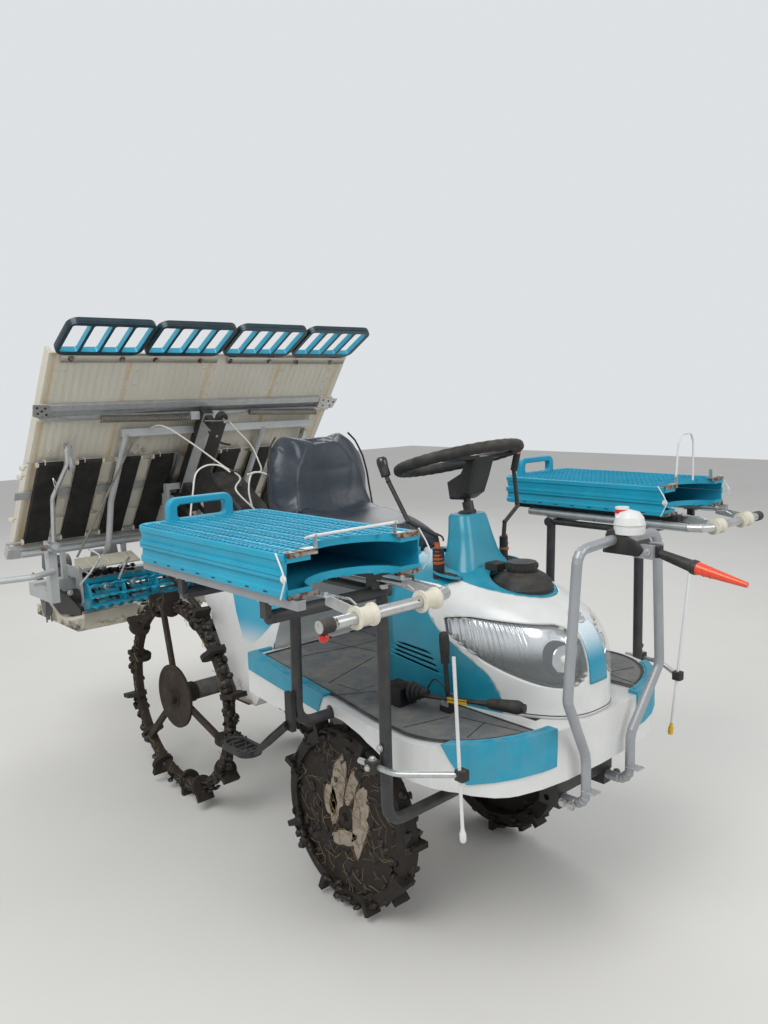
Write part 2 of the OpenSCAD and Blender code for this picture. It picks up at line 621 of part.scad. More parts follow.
// Pedals, the long lever, the short upright lever, and the two levers beside the column.
module driver_controls() color("black") from_axle() {
    mat_top = deck_z + 5;
    block([1120, 225, mat_top], [1200, 285, mat_top + 28]);
    block([1106, -325, mat_top], [1172, -268, mat_top + 48]);
    bent_tube([[1150, -298, mat_top + 38], [1230, -284, mat_top + 36], [1420, -226, mat_top + 44]], 6, 40,
        [17, 31, 11]);
    rod([1400, -232, mat_top + 43], [1476, -209, mat_top + 46], 11);
    block([1255, -268, mat_top], [1290, -240, mat_top + 16]);
    rod([1272, -252, mat_top + 10], [1260, -252, 780], 6);
    rod([1262, -252, 755], [1257, -252, 828], 11);
    difference() {
        union() {
            translate([1124, -128, 900]) cylinder(r = 16, h = 110, $fn = 12);
            translate([1139, 120, 900]) cylinder(r = 12, h = 110, $fn = 12);
        }
        bonnet_form(clear);
    }
    stick([[1124, -128, 1006], [1127, -140, 1046], [1087, -200, 1086], [1015, -200, 1186],
        [1002, -200, 1210]], 6);
    rod([1006, -200, 1200], [992, -200, 1236], 13);
    stick([[1139, 120, 1006], [1137, 128, 1050], [1120, 206, 1086], [1106, 206, 1196]], 6);
    rod([1107, 206, 1188], [1123, 206, 1250], 10);
}

module boarding_steps() color("black") from_axle() both_sides() {
    block([985, post_y + post_r + clear, deck_z - 40], [1013, post_y + post_r + 14, deck_z + 60]);
    bent_tube([[994, post_y + 32, 602], [930, 560, 545], [840, 560, 497]], 9, 20);
    translate([803, 560, 490]) linear_extrude(14) {
        for (s = [-1, 1]) translate([s * 35, 0]) circle(r = 32);
        translate([-35, -32]) square([70, 64]);
    }
}

seat_hinge = [830, 0, seat_z - 24];

module seat_base() color("dimgray") from_axle() difference() {
    union() {
        block([470, -150, body_top], [500, 150, seat_z - 12 - clear]);
        block([470, -60, body_top], [590, 60, body_top + 8]);
        for (s = [-1, 1]) {
            block([470, s * 100 - 5, body_top], [598, s * 100 + 5, seat_z - 12 - clear]);
            block([590, s * 100 - 5, seat_hinge[2] - 20],
                [seat_hinge[0] + 14, s * 100 + 5, seat_z - 12 - clear]);
        }
    }
    cross_bar(seat_hinge[0], seat_hinge[2], -200, 200, pin_r);
}

module seat_pan() color("dimgray") from_axle() union() {
    block([470, -150, seat_z - 12], [seat_hinge[0] - 18, 150, seat_z]);
    for (s = [-1, 1]) {
        block([seat_hinge[0] - 60, s * 115 - 5, seat_hinge[2] - 12], [seat_hinge[0] - 18, s * 115 + 5, seat_z]);
        block([seat_hinge[0] - 60, s * 115 - 5, seat_hinge[2] - 12],
            [seat_hinge[0] + 12, s * 115 + 5, seat_z - 13]);
    }
    cross_bar(seat_hinge[0], seat_hinge[2], -120, 120, pin_r - run);
}

// Cushion and back as the crossing of a side view with a front view.
module seat() color("slategray") from_axle() {
    half = seat_w / 2;
    intersection() {
        translate([0, half, 0]) rotate([90, 0, 0]) linear_extrude(seat_w)
            polygon([[450, seat_z], [846, seat_z], [858, seat_z + 20], [852, seat_z + 55], [820, seat_z + 78],
                [700, seat_z + 112], [590, seat_z + 138], [450, seat_z + 140]]);
        translate([400, 0, 0]) rotate([90, 0, 90]) linear_extrude(500)
            polygon([[-half + 12, seat_z], [half - 12, seat_z], [half, seat_z + 30], [half - 6, seat_z + 110],
                [half - 30, seat_z + 140], [30 - half, seat_z + 140], [6 - half, seat_z + 110],
                [-half, seat_z + 30]]);
    }
    intersection() {
        translate([0, half, 0]) rotate([90, 0, 0]) linear_extrude(seat_w)
            polygon([[450, seat_z], [540, seat_z], [530, seat_z + 150], [494, seat_z + 267], [470, seat_z + 350],
                [450, seat_z + 385], [432, seat_z + 388], [412, seat_z + 340], [408, seat_z + 200]]);
        translate([400, 0, 0]) rotate([90, 0, 90]) linear_extrude(200)
            polygon([[12 - half, seat_z], [half - 12, seat_z], [half, seat_z + 60], [half, seat_z + 190],
                [half - 12, seat_z + 290], [half - 36, seat_z + 350], [150, seat_z + 380], [90, seat_z + 390],
                [-90, seat_z + 390], [-150, seat_z + 380], [36 - half, seat_z + 350], [12 - half, seat_z + 290],
                [-half, seat_z + 190], [-half, seat_z + 60]]);
    }
}

marker_joint = [1776, 0, 1025];

module centre_marker() color("dimgray") from_axle() difference() {
    union() {
        block([marker_pivot[0] - 8, -12, marker_pivot[2] - 13],
            [marker_pivot[0] + 20, 12, marker_pivot[2] + 13]);
        taper(marker_pivot + [14, 0, -3], marker_joint, 10, 14);
    }
    cross_bar(marker_pivot[0], marker_pivot[2], -60, 60, 6 + run);
}

// The clear orange point of the centre marker.
module marker_tip() color("orangered") from_axle()
    taper(marker_joint + [4 * clear, 0, 0], [1897, 0, 1002], 15, 6);

// A round bar between two points with its own radius at each end.
module taper(a, b, ra, rb) {
    d = b - a;
    translate(a) rotate([0, acos(d[2] / norm(d)), atan2(d[1], d[0])]) cylinder(r1 = ra, r2 = rb, h = norm(d));
}

/* Lift linkage */

function link_point(x0, z0, share) =
    [x0 - share * link_l * cos(link_rise), 0, z0 + share * link_l * sin(link_rise)];

module lower_link() color("dimgray") from_axle() difference() {
    foot = link_point(link_foot_x, link_foot_z, 0);
    head = link_point(link_foot_x, link_foot_z, 1);
    union() {
        both_sides() {
            for (p = [foot, head]) cross_bar(p[0], p[2], 100, 130, 22);
            a = link_point(link_foot_x, link_foot_z, 0.035);
            b = link_point(link_foot_x, link_foot_z, 0.965);
            rod([a[0], 115, a[2]], [b[0], 115, b[2]], 13);
        }
        cross_bar(lift_eye[0], lift_eye[2], -115, 115, 12);
    }
    for (p = [foot, head]) cross_bar(p[0], p[2], -200, 200, pin_r + run);
}

module top_link() color("dimgray") from_axle() difference() {
    a = link_point(link_foot_x, link_foot_z + link_gap, 0);
    b = link_point(link_foot_x, link_foot_z + link_gap, 1);
    union() {
        for (p = [a, b]) cross_bar(p[0], p[2], -45, 45, 20);
        for (s = [-1, 1]) rod([a[0], s * 33, a[2]], [b[0], s * 33, b[2]], 9);
    }
    for (p = [a, b]) cross_bar(p[0], p[2], -200, 200, pin_r + run);
}

lift_eye = link_point(link_foot_x, link_foot_z, lift_share);
lift_dir = unit(lift_eye - lift_foot);
lift_len = norm(lift_eye - lift_foot);
lift_slot = 18;
lift_play = 5.5;

module lift_cylinder() color("gray") from_axle() difference() {
    union() {
        rod(lift_foot + lift_dir * 12, lift_foot + lift_dir * 230, 24);
        cross_bar(lift_foot[0], lift_foot[2], -30, 30, 20);
    }
    cross_bar(lift_foot[0], lift_foot[2], -40, 40, pin_r + run);
    rod(lift_foot + lift_dir * 60, lift_foot + lift_dir * 240, 12);
}

// The rod ends in a long eye that takes up the play between rod and link.
module lift_rod() color("silver") from_axle() {
    lean = atan2(lift_dir[2], -lift_dir[0]);
    difference() {
        union() {
            rod(lift_foot + lift_dir * 80, lift_eye - lift_dir * 36, 12 - run);
            translate(lift_eye) rotate([90, lean, 0]) translate([0, 0, -10]) linear_extrude(20) eye_shape(26);
        }
        translate(lift_eye) rotate([90, lean, 0]) translate([0, 0, -20]) linear_extrude(40)
            eye_shape(12 + lift_play);
    }
}

module eye_shape(r) {
    for (s = [-1, 1]) translate([s * lift_slot, 0]) circle(r = r);
    translate([-lift_slot, -r]) square([2 * lift_slot, 2 * r]);
}

/* Planting unit */

// Moves what is drawn flat, X down the slope and Z off the underside, onto the seedling table.
module on_table() translate([table_top_x, 0, table_top_z]) rotate([0, 180 - table_slope, 0]) children();

// A point of the seedling table: s down its slope, n off its underside.
function table_point(s, n) = [
    table_top_x - s * cos(table_slope) + n * sin(table_slope), 0,
    table_top_z - s * sin(table_slope) - n * cos(table_slope)];

table_guide = table_point(table_l - 26, 24 + clear + 12);
beam_x = floor(table_guide[0]) - 33;
beam_w = 50;
beam_z = 690;

module planting_frame() color("silver") from_axle() union() {
    top = table_point(243, 14 + clear + 10);
    guide = table_guide;
    block([beam_x, -575, beam_z], [beam_x + beam_w, 575, beam_z + 50]);
    for (s = [-1, 1]) {
        block([beam_x, s * 75 - 6, beam_z], [beam_x + beam_w, s * 75 + 6, link_end_z + 20]);
        block([beam_x, s * 75 - 6, link_end_z - 22], [link_end_x + 22, s * 75 + 6, link_end_z + 20]);
        block([link_end_x - 20, s * 75 - 6, link_end_z - 22],
            [link_end_x + 22, s * 75 + 6, link_end_z + link_gap + 20]);
        block([link_end_x - 4, s * 75 - 6, link_end_z + link_gap],
            [link_end_x + 22, s * 75 + 6, link_end_z + link_gap + 60]);
    }
    // the post between the two link heads' plate and the table's upper rail
    block([link_end_x - 4, -75, link_end_z + link_gap + 35],
        [link_end_x + 22, 75, link_end_z + link_gap + 60]);
    on_table() block([225, -22, 14 + clear + 10], [612, 22, 60]);
    cross_bar(link_end_x, link_end_z, -140, 140, pin_r);
    cross_bar(link_end_x, link_end_z + link_gap, -75, 75, pin_r);
    both_sides() bent_tube([[beam_x + 25, 300, beam_z + 30], [-500, 300, 868], [-455, 300, 1030],
        [-287, 300, 1293]], 12, 60);
    block([-300, -318, 1284], [-284, 556, 1312]);
    block([top[0] - 6, -60, top[2] - 26], [top[0] + 12, 60, top[2] + 4]);
    // lower guide of the table, on four uprights
    cross_bar(guide[0], guide[2], -table_w / 2 + 20, table_w / 2 - 20, 12);
    for (y = [-450, -200, 200, 450])
        block([guide[0] - 10, y - 8, beam_z + 40], [guide[0] + 10, y + 8, guide[2]]);
    // posts of the line markers and the side guards
    both_sides() {
        block([beam_x, 545, beam_z], [-400, 575, beam_z + 40]);
        block([-440, 545, beam_z], [-400, 575, marker_z + 18]);
        rod([-402, 560, marker_z], [-364, 560, marker_z], pin_r);
        bent_tube([[-400, 560, 810], [-370, 640, 805], [-420, 775, 800], [-600, 790, 800]], 11, 40);
    }
    both_sides() difference() {
        union() {
            block([beam_x, leveller_half + 12, beam_z], [beam_x + beam_w, leveller_half + 22, 790]);
            block([beam_x, leveller_half + 12, leveller_z + leveller_r + 6],
                [-leveller_back + 20, leveller_half + 22, 790]);
            block([-leveller_back - 20, leveller_half + 12, leveller_z - 22],
                [-leveller_back + 20, leveller_half + 22, 790]);
        }
        cross_bar(-leveller_back, leveller_z, 300, 600, 10 + run);
    }
}

module planting_cases() color("lightgray") from_axle() both_sides() difference() {
    union() {
        block([-rotor_back - 10, row_pitch - 32, 650], [beam_x, row_pitch + 32, 722]);
        cross_bar(-rotor_back, rotor_z, row_pitch - 50, row_pitch + 50, 38);
    }
    cross_bar(-rotor_back, rotor_z, row_pitch - 60, row_pitch + 60, 12);
}

// One rotary case with its two planting arms; side is which end of its drive case it sits on.
module planting_rotor(row) color("orange") from_axle() {
    case_y = row_pitch * (row < 3 ? -1 : 1);
    side = row % 2 == 1 ? -1 : 1;
    translate([-rotor_back, case_y, rotor_z]) on_side(side) {
        cross_bar(0, 0, 5, 80, 12 - run);
        rotate([0, 20, 0]) {
            translate([0, 95, 0]) rotate([90, 0, 0]) linear_extrude(40) {
                for (s = [-1, 1]) translate([0, s * 78]) circle(r = 36);
                circle(r = 46);
                polygon([[-36, -78], [36, -78], [40, 0], [36, 78], [-36, 78], [-40, 0]]);
            }
            cross_bar(0, 0, 94, 104, 26);
            for (s = [-1, 1]) rotate([0, s < 0 ? 180 : 0, 0]) planting_arm();
        }
    }
}

// A planting arm: its pivot, its slanted body, the two tines and the push rod between them.
module planting_arm() translate([0, 0, 78]) {
    cross_bar(0, 0, 90, 124, 15);
    translate([0, 152, 0]) rotate([90, 0, 0]) linear_extrude(30)
        polygon([[-26, -22], [14, -26], [26, -12], [22, 16], [-14, 60], [-34, 64], [-40, 48]]);
    cross_bar(0, 0, 150, 156, 12);
    for (y = [127, 147]) rod([-32, y, 52], [-48, y, 85], 3);
    rod([-28, 137, 48], [-41, 137, 78], 5);
}

module floats() color("white") from_axle() {
    // columns: middle of each float across the machine, and its width
    for (f = [[-300, 220], [0, 240], [300, 220]]) {
        block([-1010, f[0] - f[1] / 2, float_z], [-600, f[0] + f[1] / 2, float_z + 45]);
        translate([-600, f[0] - f[1] / 2, float_z + 85]) rotate([-90, 0, 0]) intersection() {
            difference() { cylinder(r = 85, h = f[1]); translate([0, 0, -1]) cylinder(r = 40, h = f[1] + 2); }
            translate([0, 0, -1]) cube([85, 85, f[1] + 2]);
        }
        block([beam_x + 20, f[0] - 18, float_z + 44], [beam_x + 38, f[0] + 18, beam_z]);
    }
    // covers over the levelling rotor, on its side plates
    both_sides() {
        translate([0, leveller_half + 22, 0]) rotate([90, 0, 0]) linear_extrude(232)
            polygon([[-500, 814], [-426, 791], [-421, 798], [-500, 824]]);
        block([-500, leveller_half + 12, 790 + clear], [-462, leveller_half + 22, 815]);
    }
}

module seedling_table() color("cornsilk") from_axle() on_table() union() {
    block([0, -table_w / 2, -table_t], [table_l, table_w / 2, 0]);
    for (i = [0 : row_count]) {
        y = (i - row_count / 2) * (table_w - 12) / row_count;
        block([0, y - 6, -table_t - 34], [table_l, y + 6, 0]);
    }
    for (s = [[200, 214], [250, 264]]) block([s[0], -table_w / 2, 0], [s[1], table_w / 2, 14]);
    block([200, -table_w / 2, 0], [264, table_w / 2, 4]);
    block([table_l - 40, -table_w / 2, 0], [table_l - 12, table_w / 2, 24]);
}

// A point beside the table's upper edge, seen in the windows' plane: s down the table, d off its face.
function lap_point(s, d) = let (lap = table_slope - window_slope)
    [-s * cos(lap) + d * sin(lap), -s * sin(lap) - d * cos(lap)];

// Four moulded frames above the table, bent forward to their own slope, each with four panes and two tabs
// that lap onto the table.
module table_windows() color("darkturquoise") from_axle() translate([table_top_x, 0, table_top_z])
    rotate([0, -window_slope, 0]) for (i = [0 : row_count - 1])
        translate([0, (i - row_count / 2) * table_w / row_count + 5, 0]) {
            w = table_w / row_count - 10;
            pane = (w - 52) / 4;
            difference() {
                translate([window_foot, 0, -14]) linear_extrude(22) rounded(window_l - window_foot, w, 34);
                for (j = [0 : 3]) translate([window_foot + 16, 14 + j * (pane + 8), -30]) linear_extrude(60)
                    rounded(window_l - window_foot - 32, pane, 9);
            }
            for (y = [74, w - 50]) translate([0, y, 0]) rotate([90, 0, 0]) linear_extrude(24)
                polygon([lap_point(24, clear), lap_point(0, clear), [window_foot + 8, -1],
                    [window_foot + 8, -9], lap_point(0, 6), lap_point(24, 6)]);
        }

// A plate outline with round corners.
module rounded(l, w, r) {
    translate([r, 0]) square([l - 2 * r, w]);
    translate([0, r]) square([l, w - 2 * r]);
    for (x = [r, l - r], y = [r, w - r]) translate([x, y]) circle(r = r);
}

module table_belts() color("black") from_axle() on_table()
    for (i = [0 : 2 * row_count - 1])
        block([table_l - 429, (i - row_count + 0.5) * 150 - 32, clear],
            [table_l - 49, (i - row_count + 0.5) * 150 + 32, 14]);

// The cage of the levelling rotor: discs with holes, toothed bars round them and finger plates between.
module levelling_rotor() color("darkturquoise") from_axle() translate([-leveller_back, 0, leveller_z]) union() {
    teeth = 20;
    bars = 8;
    pitch = 2 * leveller_half / teeth;
    cross_bar(0, 0, -leveller_half - 26, leveller_half + 26, 10);
    for (k = [-3 : 3]) difference() {
        cross_bar(0, 0, k * (leveller_half - 4) / 3 - 4, k * (leveller_half - 4) / 3 + 4, leveller_r - 12);
        if (abs(k) < 3) for (i = [0 : 3]) rotate([0, 22.5 + i * 90, 0])
            cross_bar(30, 0, -leveller_half, leveller_half, 10);
    }
    for (i = [0 : bars - 1]) rotate([0, i * 360 / bars, 0]) translate([0, 0, leveller_r - 20])
        rotate([90, 0, 90]) translate([0, 0, -3]) linear_extrude(6) polygon(concat([[-leveller_half, 0]],
            [for (k = [0 : teeth - 1], q = [[0, 12], [0.22, 20], [0.5, 20], [0.72, 12]])
                [-leveller_half + (k + q[0] + (i % 2) * 0.25) * pitch, q[1]]],
            [[leveller_half, 12], [leveller_half, 0]]));
}

module line_marker(side) color("silver") from_axle() on_side(side) difference() {
    union() {
        rod([-395, 560, marker_z], [-370, 560, marker_z], 20);
        bent_tube([[-382, 560, marker_z + 10], [-368, 557, 1078], [-318, 511, 1205]], 8, 30);
        rod([-318, 511, 1205], [-296, 521, 1266], 12);
    }
    rod([-450, 560, marker_z], [-360, 560, marker_z], pin_r + run);
}

chassis_frame();
rear_tower();
engine_block();
driveline();
deck_skirt();
floor_mats();
corner_pads();
rear_body();
bonnet_cowl();
bonnet_panel();
side_covers();
column_cover();
headlights();
fuel_cap();
steering_column();
front_guard();
guard_lamp();
carrier_frame(1);  // carrier_frame_left
carrier_frame(-1);  // carrier_frame_right
lower_tray(1);  // lower_tray_left
lower_tray(-1);  // lower_tray_right
carrier_rails();
carrier_rollers();
side_markers();
driver_controls();
boarding_steps();
seat_base();
seat_pan();
seat();
steering_wheel();
knuckle(1);  // knuckle_left
knuckle(-1);  // knuckle_right
front_wheel(1);  // front_wheel_left
front_wheel(-1);  // front_wheel_right
rear_wheel(1);  // rear_wheel_left
rear_wheel(-1);  // rear_wheel_right
rear_lug_ring(1);  // rear_lug_ring_left
rear_lug_ring(-1);  // rear_lug_ring_right
upper_tray(1);  // upper_tray_left
upper_tray(-1);  // upper_tray_right
centre_marker();
marker_tip();
lower_link();
top_link();
lift_cylinder();
lift_rod();
planting_frame();
planting_cases();
floats();
seedling_table();
table_windows();
table_belts();
planting_rotor(1);  // planting_rotor_1
planting_rotor(2);  // planting_rotor_2
planting_rotor(3);  // planting_rotor_3
planting_rotor(4);  // planting_rotor_4
levelling_rotor();
line_marker(1);  // line_marker_left
line_marker(-1);  // line_marker_right
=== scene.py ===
"""Looks of a riding rice transplanter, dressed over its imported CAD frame.

The frame gives every piece its place and size in metres: X forward, Y to the machine's left, Z up.
Each sub-assembly is a class that holds its sizes and dresses its own pieces.
"""
import logging
import math
import random
from collections.abc import Callable
from dataclasses import dataclass
from enum import Enum

import bmesh
import bpy
from mathutils import Matrix, Vector
from mathutils.kdtree import KDTree


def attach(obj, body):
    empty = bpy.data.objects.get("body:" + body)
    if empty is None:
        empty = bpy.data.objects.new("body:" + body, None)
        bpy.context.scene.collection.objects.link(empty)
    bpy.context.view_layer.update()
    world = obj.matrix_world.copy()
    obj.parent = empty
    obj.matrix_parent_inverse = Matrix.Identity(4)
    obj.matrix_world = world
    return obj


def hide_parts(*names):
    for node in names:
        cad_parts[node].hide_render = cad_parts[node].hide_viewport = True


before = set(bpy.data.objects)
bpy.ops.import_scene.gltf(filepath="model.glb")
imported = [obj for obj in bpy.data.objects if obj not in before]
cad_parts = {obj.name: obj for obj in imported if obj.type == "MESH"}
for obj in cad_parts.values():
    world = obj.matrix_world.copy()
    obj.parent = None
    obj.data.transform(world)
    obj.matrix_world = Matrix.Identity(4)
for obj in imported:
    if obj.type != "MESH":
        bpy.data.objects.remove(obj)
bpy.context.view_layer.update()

LOG = logging.getLogger("transplanter")
AXLE_BACK = 0.444
Point = tuple[float, float, float]
Mesh = tuple[list, list]


class Side(Enum):
    """Side of the machine, with the sign of Y there."""
    LEFT = 1
    RIGHT = -1

    @property
    def word(self) -> str:
        """The side's name as the frame's nodes and bodies end."""
        return self.name.lower()


def at(x: float, y: float, z: float) -> Vector:
    """Turns a place given in millimetres from the rear axle into the frame's metres.

    Args:
        x: distance ahead of the rear axle.
        y: distance to the left.
        z: height.

    Returns:
        The place in the frame.
    """
    return Vector((x / 1000 - AXLE_BACK, y / 1000, z / 1000))


def linear(colour: str) -> tuple[float, float, float, float]:
    """Turns an sRGB hex colour into linear values.

    Args:
        colour: six hex digits after a hash.

    Returns:
        Red, green, blue and an alpha of one.
    """
    parts = [int(colour[i:i + 2], 16) / 255 for i in (1, 3, 5)]
    return (*[p / 12.92 if p <= 0.04045 else ((p + 0.055) / 1.055) ** 2.4 for p in parts], 1.0)


def add(tree: bpy.types.NodeTree, kind: str, sockets: dict | None = None, **settings) -> bpy.types.Node:
    """Adds a shader node with its settings and links.

    Args:
        tree: the material's node tree.
        kind: node type without its ShaderNode prefix.
        sockets: values or linked outputs by input name or number.
        settings: properties of the node.

    Returns:
        The new node.
    """
    made = tree.nodes.new("ShaderNode" + kind)
    for name, value in settings.items():
        setattr(made, name, value)
    for name, value in (sockets or {}).items():
        if isinstance(value, bpy.types.NodeSocket):
            tree.links.new(value, made.inputs[name])
        else:
            made.inputs[name].default_value = value
    return made


@dataclass(frozen=True)
class Finish:
    """A material and how its surface was made and has aged.

    Lengths are real millimetres; mud_top is the height in metres below which dried mud clings.
    """
    name: str
    colour: str
    shade: str = ""
    patch_mm: float = 90.0
    patch_mix: float = 0.5
    metallic: float = 0.0
    roughness: float = 0.5
    grain_mm: float = 2.5
    grain_depth_mm: float = 0.03
    dust: float = 0.12
    dust_colour: str = "#A79B86"
    mud_top: float = 0.0
    mud: float = 0.0
    mud_colour: str = "#5B4A38"
    rust: float = 0.0
    coat: float = 0.0
    alpha: float = 1.0

    def base(self, tree: bpy.types.NodeTree, place: bpy.types.NodeSocket) -> tuple:
        """Draws the clean surface.

        Args:
            tree: the material's node tree.
            place: the place on the object.

        Returns:
            The colour and the height of the surface, as sockets; the height may be None.
        """
        patch = add(tree, "TexNoise", {"Vector": place, "Scale": 1000 / self.patch_mm, "Detail": 4.0})
        share = add(tree, "MapRange", {"Value": patch.outputs["Fac"], "From Min": 0.35, "From Max": 0.65,
                                       "To Max": self.patch_mix})
        mix = add(tree, "Mix", {0: share.outputs["Result"], 6: linear(self.colour),
                                7: linear(self.shade or self.colour)}, data_type="RGBA")
        return mix.outputs[2], None

    def build(self) -> bpy.types.Material:
        """Makes the material, or returns it when it has been made.

        Returns:
            The material.
        """
        made = bpy.data.materials.get(self.name)
        if made:
            return made
        made = bpy.data.materials.new(self.name)
        made.use_nodes = True
        tree = made.node_tree
        tree.nodes.clear()
        place = add(tree, "TexCoord").outputs["Object"]
        colour, height = self.base(tree, place)
        grain = add(tree, "TexNoise", {"Vector": place, "Scale": 1000 / self.grain_mm, "Detail": 3.0})
        rough = add(tree, "MapRange", {"Value": grain.outputs["Fac"], "To Min": self.roughness - 0.07,
                                       "To Max": self.roughness + 0.09}).outputs["Result"]
        axes = add(tree, "SeparateXYZ", {"Vector": place})
        blot = add(tree, "TexNoise", {"Vector": place, "Scale": 1000 / 55, "Detail": 6.0, "Roughness": 0.65})
        if self.rust:
            spot = add(tree, "TexNoise", {"Vector": place, "Scale": 1000 / 14, "Detail": 5.0})
            worn = add(tree, "MapRange", {"Value": spot.outputs["Fac"], "From Min": 0.68 - 0.22 * self.rust,
                                          "From Max": 0.76 - 0.2 * self.rust})
            mix = add(tree, "Mix", {0: worn.outputs["Result"], 6: colour, 7: linear("#6E4124")}, data_type="RGBA")
            colour = mix.outputs[2]
            rough = add(tree, "Mix", {0: worn.outputs["Result"], 2: rough, 3: 0.85}).outputs[0]
        if self.dust:
            normal = add(tree, "SeparateXYZ", {"Vector": add(tree, "NewGeometry").outputs["Normal"]})
            up = add(tree, "MapRange", {"Value": normal.outputs["Z"], "From Min": -0.2, "To Min": 0.25})
            lot = add(tree, "MapRange", {"Value": blot.outputs["Fac"], "From Min": 0.38, "From Max": 0.72,
                                         "To Max": self.dust})
            share = add(tree, "Math", {0: up.outputs["Result"], 1: lot.outputs["Result"]}, operation="MULTIPLY")
            mix = add(tree, "Mix", {0: share.outputs[0], 6: colour, 7: linear(self.dust_colour)}, data_type="RGBA")
            colour = mix.outputs[2]
            rough = add(tree, "Mix", {0: share.outputs[0], 2: rough, 3: 0.85}).outputs[0]
        if self.mud:
            low = add(tree, "MapRange", {"Value": axes.outputs["Z"], "From Min": self.mud_top,
                                         "From Max": self.mud_top - 0.22, "To Min": -0.35, "To Max": self.mud})
            sum_ = add(tree, "Math", {0: low.outputs["Result"], 1: blot.outputs["Fac"]}, operation="ADD")
            share = add(tree, "MapRange", {"Value": sum_.outputs[0], "From Min": 0.62, "From Max": 0.8})
            mix = add(tree, "Mix", {0: share.outputs["Result"], 6: colour, 7: linear(self.mud_colour)},
                      data_type="RGBA")
            colour = mix.outputs[2]
            rough = add(tree, "Mix", {0: share.outputs["Result"], 2: rough, 3: 0.92}).outputs[0]
        bump = add(tree, "Bump", {"Height": grain.outputs["Fac"], "Strength": 0.35,
                                  "Distance": self.grain_depth_mm / 1000})
        if height is not None:
            bump = add(tree, "Bump", {"Height": height, "Distance": 0.001, "Strength": 1.0,
                                      "Normal": bump.outputs["Normal"]})
        shader = add(tree, "BsdfPrincipled", {"Base Color": colour, "Roughness": rough, "Metallic": self.metallic,
                                              "Normal": bump.outputs["Normal"], "Alpha": self.alpha,
                                              "Coat Weight": self.coat, "Coat Roughness": 0.12})
        add(tree, "OutputMaterial", {"Surface": shader.outputs["BSDF"]})
        return made


# ABS, injection moulded: an even bright shell with a soft gloss, and a film of field dust.
WHITE_ABS = Finish("abs_white_moulded", "#DCDDDC", "#CFCFCB", roughness=0.28, coat=0.3, dust=0.16,
                   mud_top=0.62, mud=0.25, mud_colour="#9B8B74")
# ABS, injection moulded in teal: the same gloss, a little faded where the sun reaches it.
TEAL_ABS = Finish("abs_teal_moulded", "#0C8CA6", "#15798F", roughness=0.32, coat=0.25, dust=0.12)
# Polypropylene, injection moulded: a duller teal with pale scuffs.
TEAL_PP = Finish("polypropylene_teal_moulded", "#0F9CBA", "#0B86A3", roughness=0.42, patch_mm=140, dust=0.1)
# Polypropylene step pads: matt, scuffed by boots.
PAD_PP = Finish("polypropylene_pad_moulded", "#1D97B4", "#2C86A0", roughness=0.55, patch_mm=50, dust=0.35)
# Tube steel, powder coated dark grey: even, satin, with dust on top.
GREY_POWDER = Finish("steel_tube_powder_coated_grey", "#2B2D30", "#232528", roughness=0.42, dust=0.2)
# Steel, silver painted: a dull metallic grey with fine orange peel.
SILVER_PAINT = Finish("steel_tube_silver_painted", "#A2A5A9", "#909397", metallic=0.4, roughness=0.38, dust=0.12)
# Steel tube, painted light grey: an even pale satin, dusty.
PALE_PAINT = Finish("steel_tube_painted_light_grey", "#B9BCBC", "#A5A8A8", metallic=0.15, roughness=0.42, dust=0.2)
# Steel, zinc plated and passivated: bright, blotchy, with rust starting in spots.
ZINC = Finish("steel_zinc_plated", "#C6C8C8", "#ACADAA", metallic=0.8, roughness=0.33, patch_mm=30, rust=0.22,
              dust=0.15)
# Steel, painted black.
BLACK_STEEL = Finish("steel_black_enamelled", "#17181A", "#202224", roughness=0.4, dust=0.2)
# Grey cast iron and aluminium cases: matt, oily grey with mud below.
CAST_GREY = Finish("aluminium_die_cast_grey", "#6E7072", "#5B5C5C", metallic=0.3, roughness=0.55, grain_mm=1.6,
                   grain_depth_mm=0.1, dust=0.3, mud_top=0.5, mud=0.55)
# Nylon, glass filled, moulded black: dull with a fine spark-eroded grain.
BLACK_NYLON = Finish("nylon_black_moulded", "#141517", "#1C1D20", roughness=0.5, grain_mm=0.9,
                     grain_depth_mm=0.08, dust=0.16)
# Synthetic rubber mat, moulded: grey, matt and dusty.
MAT_RUBBER = Finish("rubber_mat_moulded_grey", "#5F6468", "#6E7173", roughness=0.78, patch_mm=120, dust=0.4,
                    grain_mm=1.2, grain_depth_mm=0.12)
# Natural rubber tyre under dried paddy mud.
MUDDY_RUBBER = Finish("rubber_tyre_muddy", "#100D0B", "#1E1813", roughness=0.65, patch_mm=35, patch_mix=0.9,
                      grain_mm=6, grain_depth_mm=1.2, dust=0.1, mud_top=1.2, mud=0.2, mud_colour="#2A2119")
# Pressed steel disc and rim under dried mud.
MUDDY_STEEL = Finish("steel_pressed_muddy", "#221C15", "#352A1E", roughness=0.7, patch_mm=40, patch_mix=0.9,
                     grain_mm=7, grain_depth_mm=1.0, rust=0.3, dust=0.12, mud_top=1.2, mud=0.25, mud_colour="#2E251B")
# ABS sheet, ribbed: ivory, stained by seedlings and water.
IVORY_ABS = Finish("abs_ivory_moulded", "#D4D0C4", "#C2BBA9", roughness=0.4, patch_mm=160, dust=0.25,
                   dust_colour="#8F7F63")
# ABS, moulded dark teal for the window frames.
DARK_TEAL_ABS = Finish("abs_dark_teal_moulded", "#0A2C37", "#0D3743", roughness=0.3, dust=0.1)
# Ribbed rubber belt.
BELT_RUBBER = Finish("rubber_belt_black", "#101011", "#1A1A1A", roughness=0.7, dust=0.2)
